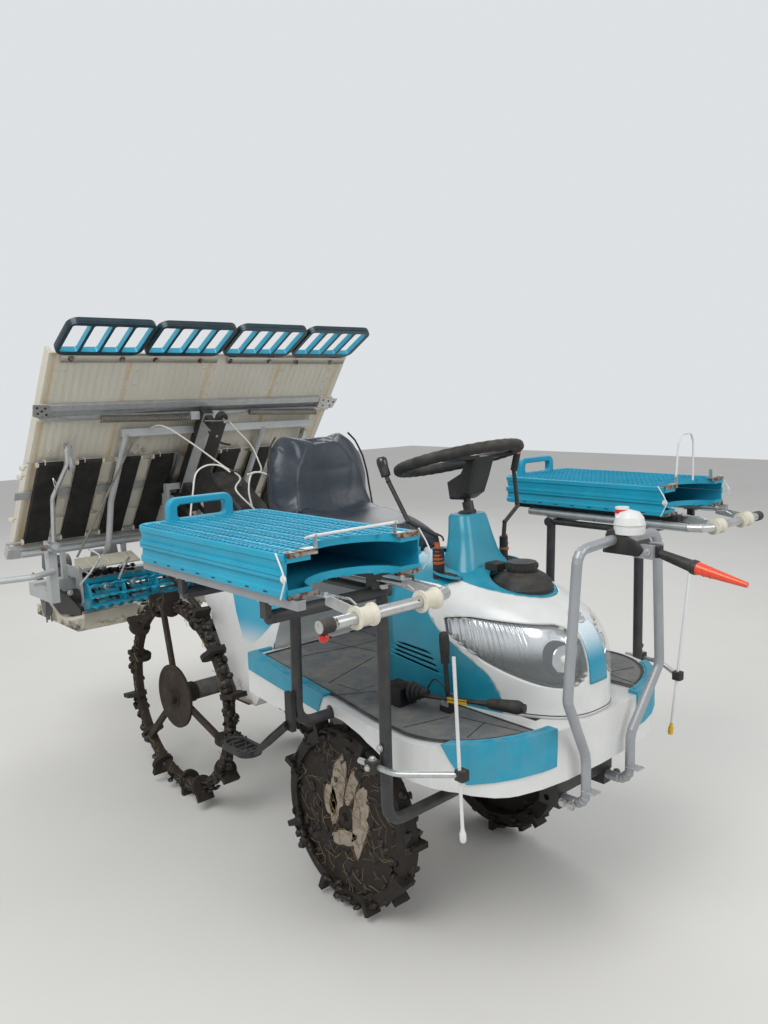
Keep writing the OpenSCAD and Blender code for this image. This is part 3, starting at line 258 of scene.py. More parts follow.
# Steel, enamelled teal: the cage of the levelling rotor, scratched and muddy.
TEAL_ENAMEL = Finish("steel_teal_enamelled", "#10A4C4", "#0D86A2", roughness=0.35, dust=0.1, mud_top=0.85, mud=0.12)
# Polypropylene, moulded white, dirty at the edges.
WHITE_PP = Finish("polypropylene_white_moulded", "#D5D0C0", "#C3BCA6", roughness=0.5, dust=0.25, mud_top=0.68,
                  mud=0.42)
# Acrylic rod, dyed orange: clear and bright.
ORANGE_ACRYLIC = Finish("acrylic_orange_extruded", "#E2481A", "#D63A12", roughness=0.25, coat=0.4, dust=0.05)
# PVC leathercloth over foam.
GREY_VINYL = Finish("pvc_leathercloth_grey", "#252E39", "#2F3945", roughness=0.33, grain_mm=1.4,
                    grain_depth_mm=0.12, dust=0.1)
# Polycarbonate lens, clear.
CLEAR_LENS = Finish("polycarbonate_clear_moulded", "#DDE3E6", "#D3DADF", roughness=0.06, coat=1.0, dust=0.03,
                    alpha=0.1, grain_depth_mm=0.0)
# Polycarbonate bowl, vacuum metallised: a bright mirror, a little dulled.
CHROME = Finish("polycarbonate_metallised", "#DCDEE0", "#C9CCCF", metallic=1.0, roughness=0.14, dust=0.04,
                grain_depth_mm=0.01)
# ABS bezel round the lamps: a pale warm grey, satin.
BEZEL_GREY = Finish("abs_bezel_grey", "#B9B6AE", "#A9A69D", roughness=0.35, coat=0.2, dust=0.15)
# Glass bulb: bright and slightly cloudy.
BULB_GLASS = Finish("glass_bulb_blown", "#E9E6DC", "#DAD6CA", roughness=0.12, coat=0.6, dust=0.0)
# Moulded rubber grips, boots and plugs: black, matt, greyed by dust.
RUBBER_BLACK = Finish("rubber_black_moulded", "#1A1A1B", "#262627", roughness=0.7, grain_mm=1.0,
                      grain_depth_mm=0.06, dust=0.25)
# Rubber boot bleached and stained by rusty water.
BOOT_RUST = Finish("rubber_boot_rust_stained", "#A8552B", "#7C3D20", roughness=0.75, patch_mm=25, dust=0.2)
# Lever knobs, moulded: gloss black, and orange worn at the top.
KNOB_BLACK = Finish("phenolic_knob_black", "#0F0F10", "#18181A", roughness=0.25, coat=0.5, dust=0.12)
KNOB_ORANGE = Finish("phenolic_knob_orange", "#E05A1C", "#C94B14", roughness=0.35, coat=0.3, dust=0.12)
# Zinc plated strip whose plating has gone: silver between brown rust patches.
RUSTY_ZINC = Finish("steel_zinc_plated_rusty", "#9D9C98", "#7F7467", metallic=0.6, roughness=0.5, patch_mm=22,
                    patch_mix=0.8, rust=0.9, dust=0.2)
# Steel wire in a white plastic coat.
WHITE_WIRE = Finish("steel_wire_pvc_coated_white", "#D9DADA", "#C8C8C4", roughness=0.35, dust=0.12)
# Cable sheath, extruded white.
CABLE_WHITE = Finish("polyethylene_sheath_white", "#DEDDD6", "#CFCDC2", roughness=0.4, dust=0.15)
# Red moulded plastic.
RED_PLASTIC = Finish("polypropylene_red_moulded", "#C9191C", "#B21417", roughness=0.3, coat=0.3, dust=0.08)
# Yellow vinyl tape, blank.
TAPE_YELLOW = Finish("vinyl_tape_yellow", "#D9B11E", "#C79F18", roughness=0.4, dust=0.15)
# Galvanised sheet: pale grey with soft spangle.
SILVER_SHEET = Finish("steel_sheet_galvanised", "#BDBFBF", "#A3A5A5", metallic=0.5, roughness=0.42, patch_mm=25,
                      dust=0.2, dust_colour="#857A68")
# Spring steel, oiled and dusty.
DULL_STEEL = Finish("steel_spring_oiled", "#8B877E", "#6F6A61", metallic=0.6, roughness=0.5, rust=0.3, dust=0.3)
# ABS window walls, moulded teal: their light teal is painted daylight glowing through the thin walls.
WINDOW_LINER = Finish("abs_teal_painted_glow", "#2AA3C0", "#2290AE", roughness=0.3, coat=0.2, dust=0.06)
# Wet paddy mud: near black, with a damp sheen on its lumps.
WET_MUD = Finish("mud_wet", "#130F0B", "#221A13", roughness=0.45, patch_mm=28, patch_mix=0.9, grain_mm=4,
                 grain_depth_mm=0.9, dust=0.08, dust_colour="#6B5A45")
# Silt dried to a pale crust.
DRY_SILT = Finish("silt_dried", "#A3978A", "#84776A", roughness=0.92, patch_mm=18, grain_mm=3, grain_depth_mm=0.5,
                  dust=0.3, dust_colour="#C0B4A2")
# Straw and roots.
STRAW = Finish("straw_dry", "#8C7950", "#5E4E34", roughness=0.85, patch_mm=12, dust=0.1)


@dataclass(frozen=True)
class Fade(Finish):
    """A colour that fades with height into another one: print on the rear body's film, painted reflection on the lamp
    reflectors and on the panel between them.
    """
    other: str = "#FFFFFF"
    start: float = 0.0
    end: float = 1.0

    def base(self, tree: bpy.types.NodeTree, place: bpy.types.NodeSocket) -> tuple:
        """Draws the fade; see Finish.base."""
        axes = add(tree, "SeparateXYZ", {"Vector": place})
        share = add(tree, "MapRange", {"Value": axes.outputs["Z"], "From Min": self.start, "From Max": self.end},
                    interpolation_type="SMOOTHSTEP")
        mix = add(tree, "Mix", {0: share.outputs["Result"], 6: linear(self.colour), 7: linear(self.other)},
                  data_type="RGBA")
        return mix.outputs[2], None


@dataclass(frozen=True)
class StainedSheet(Finish):
    """A corrugated sheet with ochre water stains that run down it at known places across the machine."""
    stains: tuple = (-0.607, -0.335, -0.015, 0.30, 0.59)
    wide: float = 0.014
    stain: str = "#C9A25A"
    wave_mm: float = 27.0

    def base(self, tree: bpy.types.NodeTree, place: bpy.types.NodeSocket) -> tuple:
        """Draws the sheet; see Finish.base."""
        axes = add(tree, "SeparateXYZ", {"Vector": place})
        patch = add(tree, "TexNoise", {"Vector": place, "Scale": 1000 / self.patch_mm, "Detail": 5.0})
        colour = add(tree, "Mix", {0: patch.outputs["Fac"], 6: linear(self.colour), 7: linear(self.shade)},
                     data_type="RGBA").outputs[2]
        bend = add(tree, "TexNoise", {"Vector": place, "Scale": 9.0, "Detail": 2.0})
        sway = add(tree, "Math", {0: bend.outputs["Fac"], 1: 0.012}, operation="MULTIPLY")
        across = add(tree, "Math", {0: axes.outputs["Y"], 1: sway.outputs[0]}, operation="ADD")
        blot = add(tree, "TexNoise", {"Vector": place, "Scale": 24.0, "Detail": 4.0})
        for y in self.stains:
            far = add(tree, "Math", {0: across.outputs[0], 1: y + 0.006}, operation="SUBTRACT")
            off = add(tree, "Math", {0: far.outputs[0]}, operation="ABSOLUTE")
            near = add(tree, "MapRange", {"Value": off.outputs[0], "From Min": self.wide, "From Max": self.wide * 0.3,
                                          "To Max": 0.95})
            share = add(tree, "Math", {0: near.outputs["Result"], 1: blot.outputs["Fac"]}, operation="MULTIPLY")
            colour = add(tree, "Mix", {0: share.outputs[0], 6: colour, 7: linear(self.stain)},
                         data_type="RGBA").outputs[2]
        angle = add(tree, "Math", {0: axes.outputs["Y"], 1: 2000 * math.pi / self.wave_mm}, operation="MULTIPLY")
        wave = add(tree, "Math", {0: angle.outputs[0]}, operation="SINE")
        height = add(tree, "Math", {0: wave.outputs[0], 1: 0.6}, operation="MULTIPLY")
        return colour, height.outputs[0]


# ABS sheet, ribbed: ivory, with ochre stains left by seedlings and water.
STAINED_IVORY = StainedSheet("abs_ivory_corrugated", "#D8D4C8", "#C6C0B0", roughness=0.42, patch_mm=160, dust=0.22,
                             dust_colour="#8F7F63")
# Teal panel between the lamps: teal at the bottom, with a painted sky reflection fading in pale towards the top.
PANEL_FADE = Fade("teal_panel_painted_sky_reflection", "#0E8FAE", "#0E8FAE", roughness=0.25, coat=0.4, dust=0.05,
                  other="#D6E4EA", start=0.76, end=0.845)
# Printed vinyl film on the rear body: teal at the top, bare white at its foot.
SIDE_FADE = Fade("vinyl_film_teal_fading_down", "#DCDDDC", "#DCDDDC", roughness=0.3, coat=0.3, dust=0.12,
                 other="#0F9ABB", start=0.60, end=0.71)
# Polycarbonate, vacuum metallised and fluted: painted reflection, dark ground colour below fading up to pale sky
# colour above.
REFLECTOR = Fade("polycarbonate_metallised_fluted", "#2B2E22", "#2B2E22", metallic=0.8, roughness=0.15, dust=0.03,
                 grain_depth_mm=0.01, other="#F0F3F5", start=0.755, end=0.815)


NODE_FINISH: dict[str, Finish] = {
    "chassis_frame": BLACK_STEEL, "engine_block": CAST_GREY, "driveline": CAST_GREY, "deck_skirt": WHITE_ABS,
    "floor_mats": MAT_RUBBER, "corner_pads": PAD_PP, "rear_body": WHITE_ABS, "bonnet_cowl": WHITE_ABS,
    "bonnet_panel": TEAL_ABS, "side_covers": TEAL_ABS, "column_cover": TEAL_ABS, "headlights": CLEAR_LENS,
    "fuel_cap": BLACK_NYLON, "steering_column": BLACK_STEEL, "front_guard": SILVER_PAINT,
    "carrier_frame_left": GREY_POWDER, "carrier_frame_right": GREY_POWDER, "lower_tray_left": TEAL_PP,
    "lower_tray_right": TEAL_PP, "upper_tray_left": TEAL_PP, "upper_tray_right": TEAL_PP,
    "carrier_rollers": WHITE_PP, "carrier_rails": ZINC, "guard_lamp": WHITE_ABS, "side_markers": ZINC,
    "driver_controls": BLACK_NYLON, "rear_tower": BLACK_STEEL,
    "boarding_steps": BLACK_NYLON, "seat_base": BLACK_STEEL, "seat_pan": BLACK_STEEL, "seat": GREY_VINYL,
    "steering_wheel": BLACK_NYLON, "knuckle_left": CAST_GREY, "knuckle_right": CAST_GREY,
    "front_wheel_left": MUDDY_RUBBER, "front_wheel_right": MUDDY_RUBBER, "rear_wheel_left": MUDDY_STEEL,
    "rear_wheel_right": MUDDY_STEEL, "rear_lug_ring_left": MUDDY_RUBBER, "rear_lug_ring_right": MUDDY_RUBBER,
    "centre_marker": BLACK_NYLON, "marker_tip": ORANGE_ACRYLIC, "lower_link": BLACK_STEEL, "top_link": BLACK_STEEL,
    "lift_cylinder": CAST_GREY, "lift_rod": ZINC, "planting_frame": PALE_PAINT, "planting_cases": CAST_GREY,
    "floats": WHITE_PP, "seedling_table": STAINED_IVORY, "table_windows": DARK_TEAL_ABS, "table_belts": BELT_RUBBER,
    "levelling_rotor": TEAL_ENAMEL, "line_marker_left": ZINC, "line_marker_right": ZINC,
    **{f"planting_rotor_{i}": CAST_GREY for i in (1, 2, 3, 4)},
}


def dress_nodes() -> None:
    """Gives every CAD node its finish."""
    for name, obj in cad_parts.items():
        finish = NODE_FINISH.get(name)
        if finish is None:
            LOG.warning("no finish for %s", name)
            continue
        for slot in obj.material_slots:
            slot.material = finish.build()


# Geometry helpers: meshes are in millimetres from the rear axle, X forward, Y left, Z up.

def merge(*parts: Mesh) -> Mesh:
    """Puts meshes together as one.

    Args:
        parts: the meshes.

    Returns:
        One mesh with all their points and faces.
    """
    verts: list = []
    faces: list = []
    for points, polygons in parts:
        base = len(verts)
        verts += [tuple(p) for p in points]
        faces += [tuple(i + base for i in face) for face in polygons]
    return verts, faces


def moved(mesh: Mesh, matrix: Matrix) -> Mesh:
    """Moves a mesh.

    Args:
        mesh: the mesh.
        matrix: where to.

    Returns:
        The moved mesh.
    """
    return [tuple(matrix @ Vector(p)) for p in mesh[0]], mesh[1]


def on(side: Side, mesh: Mesh) -> Mesh:
    """Turns a mesh made for the left into the one for a side.

    Args:
        side: the side.
        mesh: the mesh made for the left.

    Returns:
        The same mesh, mirrored for the right.
    """
    if side is Side.LEFT:
        return mesh
    return [(x, -y, z) for x, y, z in mesh[0]], [face[::-1] for face in mesh[1]]


def both(mesh: Mesh) -> Mesh:
    """Puts a mesh made for the left on both sides.

    Args:
        mesh: the mesh made for the left.

    Returns:
        The mesh and its mirror image.
    """
    return merge(mesh, on(Side.RIGHT, mesh))


def loft(rings: list[list], caps: bool = True, wrap: bool = False, closed: bool = True) -> Mesh:
    """Joins rings that have the same number of points.

    Args:
        rings: the rings, in order.
        caps: whether the first and last ring are filled.
        wrap: whether the last ring joins the first.
        closed: whether each ring joins its own ends.

    Returns:
        The skin through the rings.
    """
    n, count = len(rings[0]), len(rings)
    verts = [tuple(p) for ring in rings for p in ring]
    faces = []
    for i in range(count if wrap else count - 1):
        for j in range(n if closed else n - 1):
            a, b, c = i * n, (i + 1) % count * n, (j + 1) % n
            faces.append((a + j, a + c, b + c, b + j))
    if caps and not wrap:
        faces += [tuple(range(n))[::-1], tuple(range(len(verts) - n, len(verts)))]
    return verts, faces


def curve(points: list, count: int, wrap: bool = False) -> list[Vector]:
    """Runs a smooth curve through points.

    Args:
        points: the points.
        count: how many points the curve gets.
        wrap: whether the curve closes.

    Returns:
        Points along the curve.
    """
    known = [Vector(p) for p in points]
    n = len(known)
    span = n if wrap else n - 1
    found = []
    for k in range(count):
        s = k * span / (count if wrap else count - 1)
        i = min(int(s), span - 1)
        u = s - i
        p = [known[(i + j) % n] if wrap else known[min(max(i + j, 0), n - 1)] for j in (-1, 0, 1, 2)]
        found.append(0.5 * (2 * p[1] + (p[2] - p[0]) * u + (2 * p[0] - 5 * p[1] + 4 * p[2] - p[3]) * u * u
                            + (3 * p[1] - p[0] - 3 * p[2] + p[3]) * u ** 3))
    return found


def bent(points: list, bend: float, steps: int = 5) -> list[Vector]:
    """Rounds the corners of a path.

    Args:
        points: the path's corners.
        bend: radius of every bend.
        steps: how many pieces a bend has.

    Returns:
        The path with its bends.
    """
    p = [Vector(q) for q in points]
    found = [p[0]]
    for a, b, c in zip(p, p[1:], p[2:]):
        d1, d2 = (b - a).normalized(), (c - b).normalized()
        half = d1.angle(d2, 0.0) / 2
        if half < 0.02:
            found.append(b)
            continue
        reach = min(bend * math.tan(half), (b - a).length * 0.48, (c - b).length * 0.48)
        for k in range(steps + 1):
            u = k / steps
            found.append((b - d1 * reach) * (1 - u) ** 2 + b * 2 * u * (1 - u) + (b + d2 * reach) * u * u)
    return found + [p[-1]]


def tube(path: list, radius: float | list[float], sides: int = 12, wrap: bool = False, flat: float = 1.0) -> Mesh:
    """Makes a round bar along a path.

    Args:
        path: the points of the path.
        radius: its radius, one for all or one for each point.
        sides: how many sides it has.
        wrap: whether the path closes.
        flat: share of the radius across the second axis, for a flat bar.

    Returns:
        The bar.
    """
    p = [Vector(q) for q in path]
    n = len(p)
    radii = radius if isinstance(radius, list) else [radius] * n
    rings = []
    normal = None
    for i, q in enumerate(p):
        ahead = p[(i + 1) % n] if wrap or i < n - 1 else q
        back = p[i - 1] if wrap or i else q
        way = (ahead - back).normalized()
        if normal is None:
            normal = way.orthogonal() if abs(way.y) > 0.9 else way.cross(Vector((0, 1, 0)))
        normal = (normal - way * normal.dot(way)).normalized()
        other = way.cross(normal)
        rings.append([q + normal * radii[i] * flat * math.cos(a) + other * radii[i] * math.sin(a)
                      for a in (math.tau * k / sides for k in range(sides))])
    return loft(rings, wrap=wrap)


def basis(origin: Point, axis: Point, up: Point = (0, 0, 1)) -> Matrix:
    """Makes the frame whose Z lies along an axis.

    Args:
        origin: where it is.
        axis: where its Z points.
        up: what its Y leans towards.

    Returns:
        The frame as a matrix.
    """
    z = Vector(axis).normalized()
    near = Vector(up) - z * z.dot(Vector(up))
    y = (near if near.length > 1e-4 else z.orthogonal()).normalized()
    return Matrix.Translation(origin) @ Matrix((y.cross(z), y, z)).transposed().to_4x4()


def turned(profile: list[tuple[float, float]], origin: Point, axis: Point = (0, 0, 1), sides: int = 32) -> Mesh:
    """Turns a profile about an axis.

    Args:
        profile: pairs of radius and height along the axis.
        origin: where the height is zero.
        axis: the axis.
        sides: how many sides the turned shape has.

    Returns:
        The turned shape.
    """
    rings = [[(max(r, 0.01) * math.cos(a), max(r, 0.01) * math.sin(a), h)
              for a in (math.tau * k / sides for k in range(sides))] for r, h in profile]
    return moved(loft(rings), basis(origin, axis))


def plate(outline: list[tuple[float, float]], low: float, high: float, place: Matrix | None = None) -> Mesh:
    """Makes a plate of an outline.

    Args:
        outline: its corners, counter-clockwise.
        low: height of its underside.
        high: height of its top.
        place: where it goes.

    Returns:
        The plate.
    """
    made = loft([[(x, y, low) for x, y in outline], [(x, y, high) for x, y in outline]])
    return moved(made, place) if place else made


def block(low: Point, high: Point) -> Mesh:
    """Makes a block by its lowest and highest corners.

    Args:
        low: the lowest corner.
        high: the highest corner.

    Returns:
        The block.
    """
    (a, b, c), (d, e, f) = low, high
    return plate([(a, b), (d, b), (d, e), (a, e)], c, f)


def rounded(w: float, h: float, r: float, x: float = 0.0, y: float = 0.0, steps: int = 5) -> list:
    """Outline of a rectangle with round corners.

    Args:
        w: its width.
        h: its height.
        r: radius of its corners.
        x: middle of the width.
        y: middle of the height.
        steps: pieces of each corner.

    Returns:
        The outline, counter-clockwise.
    """
    return [(x + sx * (w / 2 - r) + r * math.cos(a), y + sy * (h / 2 - r) + r * math.sin(a))
            for sx, sy, a0 in ((1, 1, 0), (-1, 1, 90), (-1, -1, 180), (1, -1, 270))
            for a in (math.radians(a0 + 90 * k / steps) for k in range(steps + 1))]


def frame_of(outline: list, hole: list, low: float, high: float, place: Matrix | None = None) -> Mesh:
    """Makes a plate with one hole; both outlines have the same number of points.

    Args:
        outline: the outer outline.
        hole: the hole's outline.
        low: height of its underside.
        high: height of its top.
        place: where it goes.

    Returns:
        The plate.
    """
    rings = [[(x, y, z) for x, y in line] for line, z in ((outline, low), (outline, high), (hole, high), (hole, low))]
    made = loft(rings, wrap=True)
    return moved(made, place) if place else made


def bolt(origin: Point, axis: Point, size: float = 8.0, washer: bool = True) -> Mesh:
    """Makes a hexagon head on its washer.

    Args:
        origin: the middle of the face that it sits on.
        axis: where the head points.
        size: thread diameter.
        washer: whether it has a washer.

    Returns:
        The bolt's head.
    """
    place = basis(origin, axis)
    hexagon = [(0.92 * size * math.cos(a), 0.92 * size * math.sin(a)) for a in (math.tau * k / 6 for k in range(6))]
    base = 0.2 * size if washer else 0.0
    head = loft([[(x * s, y * s, base + h * size) for x, y in hexagon]
                 for s, h in ((1, 0), (1, 0.55), (0.86, 0.66))])
    disc = turned([(1.15 * size, 0), (1.15 * size, base)], (0, 0, 0), sides=20) if washer else ([], [])
    return moved(merge(disc, head), place)


def make(name: str, mesh: Mesh, finish: Finish, body: str, bevel: float = 0.0, thick: float = 0.0,
         subdivide: int = 0, angle: float = 34.0, replaces: tuple = ()) -> bpy.types.Object:
    """Makes a piece of the machine.

    Args:
        name: its name.
        mesh: its mesh.
        finish: its finish.
        body: the body that it rides on.
        bevel: width of its bevelled edges in millimetres.
        thick: thickness that a sheet gets inwards, in millimetres.
        subdivide: subdivision level.
        angle: edges sharper than this stay sharp.
        replaces: the CAD nodes that it stands for.

    Returns:
        The piece.
    """
    data = bpy.data.meshes.new(name)
    data.from_pydata([at(*p) for p in mesh[0]], [], mesh[1])
    net = bmesh.new()
    net.from_mesh(data)
    bmesh.ops.remove_doubles(net, verts=net.verts, dist=2e-6)
    bmesh.ops.recalc_face_normals(net, faces=net.faces)
    net.to_mesh(data)
    net.free()
    data.materials.append(finish.build())
    data.shade_smooth()
    made = bpy.data.objects.new(name, data)
    bpy.context.collection.objects.link(made)
    if thick:
        sheet = made.modifiers.new("thickness", "SOLIDIFY")
        sheet.thickness = thick / 1000
        sheet.offset = -1.0
    if bevel:
        edge = made.modifiers.new("edges", "BEVEL")
        edge.width = bevel / 1000
        edge.segments = 2
        edge.limit_method = "ANGLE"
        edge.angle_limit = math.radians(angle)
        edge.harden_normals = True
    else:
        data.set_sharp_from_angle(angle=math.radians(angle))
    if subdivide:
        made.modifiers.new("smooth", "SUBSURF").levels = subdivide
        made.modifiers["smooth"].render_levels = subdivide
    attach(made, body)
    if replaces:
        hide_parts(*replaces)
    LOG.info("%s: %d faces on %s", name, len(data.polygons), body)
    return made


def clipped(columns: list[float], rows: list[float], surface: Callable, keep: Callable) -> Mesh:
    """Makes the part of a surface where a function is positive, with a clean edge.

    Args:
        columns: values of the surface's first number.
        rows: values of its second number.
        surface: turns both numbers into a point.
        keep: turns both numbers into a value that is positive where the sheet is kept.

    Returns:
        The sheet.
    """
    index: dict = {}
    verts: list = []
    known: dict = {}

    def value(c: tuple) -> float:
        if c not in known:
            known[c] = keep(*c)
        return known[c]

    def number(c: tuple) -> int:
        key = (round(c[0], 6), round(c[1], 6))
        if key not in index:
            index[key] = len(verts)
            verts.append(tuple(surface(*c)))
        return index[key]

    faces = []
    for u0, u1 in zip(columns, columns[1:]):
        for v0, v1 in zip(rows, rows[1:]):
            corners = [(u0, v0), (u1, v0), (u1, v1), (u0, v1)]
            out = []
            for a, b in zip(corners, corners[1:] + corners[:1]):
                inside = value(a) > 0
                if inside:
                    out.append(a)
                if inside != (value(b) > 0):
                    s, e = (a, b) if a < b else (b, a)
                    for _ in range(12):
                        m = ((s[0] + e[0]) / 2, (s[1] + e[1]) / 2)
                        s, e = (m, e) if (keep(*m) > 0) == (keep(*s) > 0) else (s, m)
                    out.append(s)
            if len(out) > 2:
                faces.append(tuple(number(c) for c in out))
    return verts, faces


def steps(low: float, high: float, count: int) -> list[float]:
    """Splits a span evenly.

    Args:
        low: its start.
        high: its end.
        count: number of pieces.

    Returns:
        The marks, both ends among them.
    """
    return [low + (high - low) * i / count for i in range(count + 1)]


@dataclass
class Bonnet:
    """Rounded bonnet: white cowl, teal sides and top, lamps, fuel dome and the parts between them."""
    nose: float = 1536
    rear: float = 990
    half: float = 198
    top: float = 928
    rise: float = 50
    deck: float = 630
    lamp_high: float = 0.75
    cap_x: float = 1300
    dome_r: float = 82
    edge: tuple = ((500, 1385), (670, 1367), (722, 1334), (770, 1250), (812, 1180), (850, 1142), (890, 1146),
                   (960, 1207), (1100, 1300))

    def point(self, a: float, h: float, g: float = 0.0) -> Point:
        """A point of the bonnet.

        Args:
            a: angle from the nose, positive to the left.
            h: share of the height.
            g: distance outwards.

        Returns:
            The point.
        """
        c, s = max(math.cos(math.radians(a)), 0.0) ** 0.75, abs(math.sin(math.radians(a))) ** 0.75
        along = (self.nose - self.rear) * (1 - h ** 4.3) ** (1 / 2.9) * c
        wide = self.half * (1 - h ** 8) ** (1 / 2.5)
        return (self.rear + along + g * c, (wide + g) * s * (1 if a > 0 else -1),
                self.deck + (self.top - self.deck) * h
                + self.rise * h ** 6 * (1 - along / (self.nose - self.rear)) + g * h ** 4)

    def low(self, a: float) -> float:
        """Lower edge of the lamps at an angle, as a share of the height."""
        return min(0.26 + 0.000115 * max(abs(a) - 22, 0) ** 2, self.lamp_high - 0.02)

    def share(self, a: float, j: float) -> float:
        """Share of the height of row j, where rows 4 to 7 hold the lamps."""
        if j <= 4:
            return 0.002 + (self.low(a) - 0.002) * j / 4
        if j <= 7:
            return self.low(a) + (self.lamp_high - self.low(a)) * (j - 4) / 3
        return 0.9995 - (0.9995 - self.lamp_high) * (1 - (j - 7) / 9) ** 1.8

    def skin(self, g: float) -> Callable:
        """The bonnet's surface, moved outwards by g, as a function of angle and row."""
        return lambda a, j: self.point(a, self.share(a, j), g)

    def white(self, a: float, j: float) -> float:
        """Positive where the bonnet is white."""
        x, y, z = self.point(a, self.share(a, j))
        for (z0, x0), (z1, x1) in zip(self.edge, self.edge[1:]):
            if z <= z1:
                break
        ahead = x - (x0 + (x1 - x0) * (z - z0) / (z1 - z0))
        oval = ((x - 1204) / 192) ** 2 + (y / 120) ** 2 - 1
        return min(ahead, max(865 - z, oval * 60))

    def lamp(self, a: float, j: float, rim: float = 0.0) -> float:
        """Positive inside a lamp's opening, narrowed by a rim in degrees."""
        u, v = abs(a) - 39, (j - 5.5) * 12
        return min(33 - rim - abs(u), 18 - rim - abs(v), 18 - rim - math.hypot(max(abs(u) - 18, 0), v))

    def slot(self, x: float, z: float) -> float:
        """Negative inside one of the cooling slots."""
        found = 9.0
        for i in range(4):
            lean = math.radians(3.6 + i)
            u, v = x - (1031 - 5 * i), z - (749 - 11.5 * i)
            u, v = u * math.cos(lean) - v * math.sin(lean), u * math.sin(lean) + v * math.cos(lean)
            found = min(found, -min(u, 126 + 13 * i - u, v, 6.5 - v))
        return found

    def teal(self, a: float, j: float) -> float:
        """Positive where the bonnet is teal and has no hole."""
        x, y, z = self.point(a, self.share(a, j))
        around = math.hypot(x - self.cap_x, y) - self.dome_r - 0.6 if z > 800 else 9.0
        return min(-self.white(a, j) - 0.7, around, self.slot(x, z) if abs(a) > 45 else 9.0)

    def build(self) -> None:
        """Makes the bonnet's pieces."""
        rows = steps(0, 4, 14) + steps(4, 7, 12)[1:] + steps(7, 16, 36)[1:]
        around = steps(-90, 90, 100)
        white = clipped(around, rows, self.skin(0), lambda a, j: min(self.white(a, j), -self.lamp(a, j, -0.4)))
        make("bonnet_white_shell", white, WHITE_ABS, "chassis", thick=5.5, angle=40, replaces=("bonnet_cowl",))
        fine = steps(0, 4, 100) + steps(4, 7, 30)[1:] + steps(7, 16, 36)[1:]
        parts = [clipped(steps(a0, a1, 26), fine, self.skin(0), self.teal) for a0, a1 in ((-90, -45), (45, 90))]
        top = clipped(steps(-45, 45, 50), steps(7, 16, 36), self.skin(0), self.teal)
        wall = [(s * (self.half * (1 - h ** 8) ** 0.4 - 1), self.point(90, h)[2] - 0.6)
                for s, hs in ((1, steps(0.002, 0.9995, 24)), (-1, steps(0.9995, 0.002, 24))) for h in hs]
        rear = plate(wall, 0, 5, basis((self.rear + 5, 0, 0), (-1, 0, 0)))
        make("bonnet_teal_shell", merge(*parts, top), TEAL_ABS, "chassis", thick=5.0, angle=40,
             replaces=("side_covers",))
        make("bonnet_rear_wall", rear, TEAL_ABS, "chassis", bevel=1.5)
        # Painted shade: a black sheet behind the cooling slots stands for the dark inside the bonnet.
        slot_shade_sheet = clipped(steps(60, 90, 8), steps(0.4, 4, 8), self.skin(-14), lambda a, j: 1.0)
        make("bonnet_slot_painted_shade", both(slot_shade_sheet), BLACK_NYLON, "chassis", thick=2.0)
        self.lamps()
        place = basis(self.point(0.01, 0.765, 0.5), (0.62, 0, 0.78), (1, 0, 0))
        ring = moved(turned([(17, 0), (22, 0), (23.5, 1.5), (22, 3.2), (19.5, 3.4), (18, 2.2), (0, 2.0)],
                            (0, 0, 0), sides=48), place)
        make("bonnet_blank_badge_ring", ring, CHROME, "chassis")
        seam = [self.point(a, 0.03, 0.2) for a in steps(-74, 74, 60)]
        make("bonnet_foot_seam", tube(seam, 1.2, 6), BLACK_NYLON, "chassis")
        # The panel's pale top is a painted sky reflection over its teal.
        panel = clipped(steps(-5.3, 5.3, 10), steps(4.05, 6.95, 14), self.skin(3.6), lambda a, j: 1.0)
        make("lamp_middle_panel", panel, PANEL_FADE, "chassis", thick=3.0, replaces=("bonnet_panel",))

    def lamps(self) -> None:
        """Makes the two headlights: bowl, bulb, fluted reflector, bezel and lens."""
        across, rows = steps(6, 72, 44), steps(4, 7, 16)
        lens = clipped(across, rows, self.skin(3.2), lambda a, j: self.lamp(a, j, 0.5))
        make("headlight_lenses", both(lens), CLEAR_LENS, "chassis", thick=2.0, angle=60, replaces=("headlights",))
        rim = clipped(across, rows, self.skin(1.6), lambda a, j: min(self.lamp(a, j, 0.3), 1.5 - self.lamp(a, j, 0)))
        make("headlight_bezels", both(rim), BEZEL_GREY, "chassis", thick=9.0, angle=50)

        def wavy(a: float, j: float) -> Point:
            ripple = 1.3 * math.cos(a * 2.6) if a > 36 else 0.0
            sink = -20 + 8 * max(0.0, min(1.0, (a - 36) / 24)) + ripple
            return self.point(a, self.share(a, j), sink)

        back = clipped(steps(6, 72, 180), rows, wavy,
                       lambda a, j: min(self.lamp(a, j, 0.2), math.hypot((a - 20.5) * 1.35, (j - 5.3) * 15) - 14.6))
        make("headlight_reflectors", both(back), REFLECTOR, "chassis", thick=1.0, angle=50)
        seat = self.point(19, self.share(19, 5.35), -21)
        axis = (1.0, 0.30, 0.12)
        bowl = turned([(33 * math.sqrt(k / 10), -14 + 18 * k / 10) for k in range(11)], seat, axis, 40)
        made = loft([bowl[0][i:i + 40] for i in range(0, len(bowl[0]), 40)], caps=False)
        make("headlight_bowls", both(made), CHROME, "chassis", thick=1.0)
        ribs = [turned([(33, 3), (34.5, 4.5), (33, 6), (31.5, 4.5)], seat, axis, 40)]
        make("headlight_bowl_rings", both(merge(*ribs)), CHROME, "chassis")
        bulb = turned([(0.1, -10), (4, -9), (4, -2), (8, 0), (9.5, 5), (8, 10), (0.1, 13)], seat, axis, 20)
        make("headlight_bulbs", both(bulb), BULB_GLASS, "chassis")


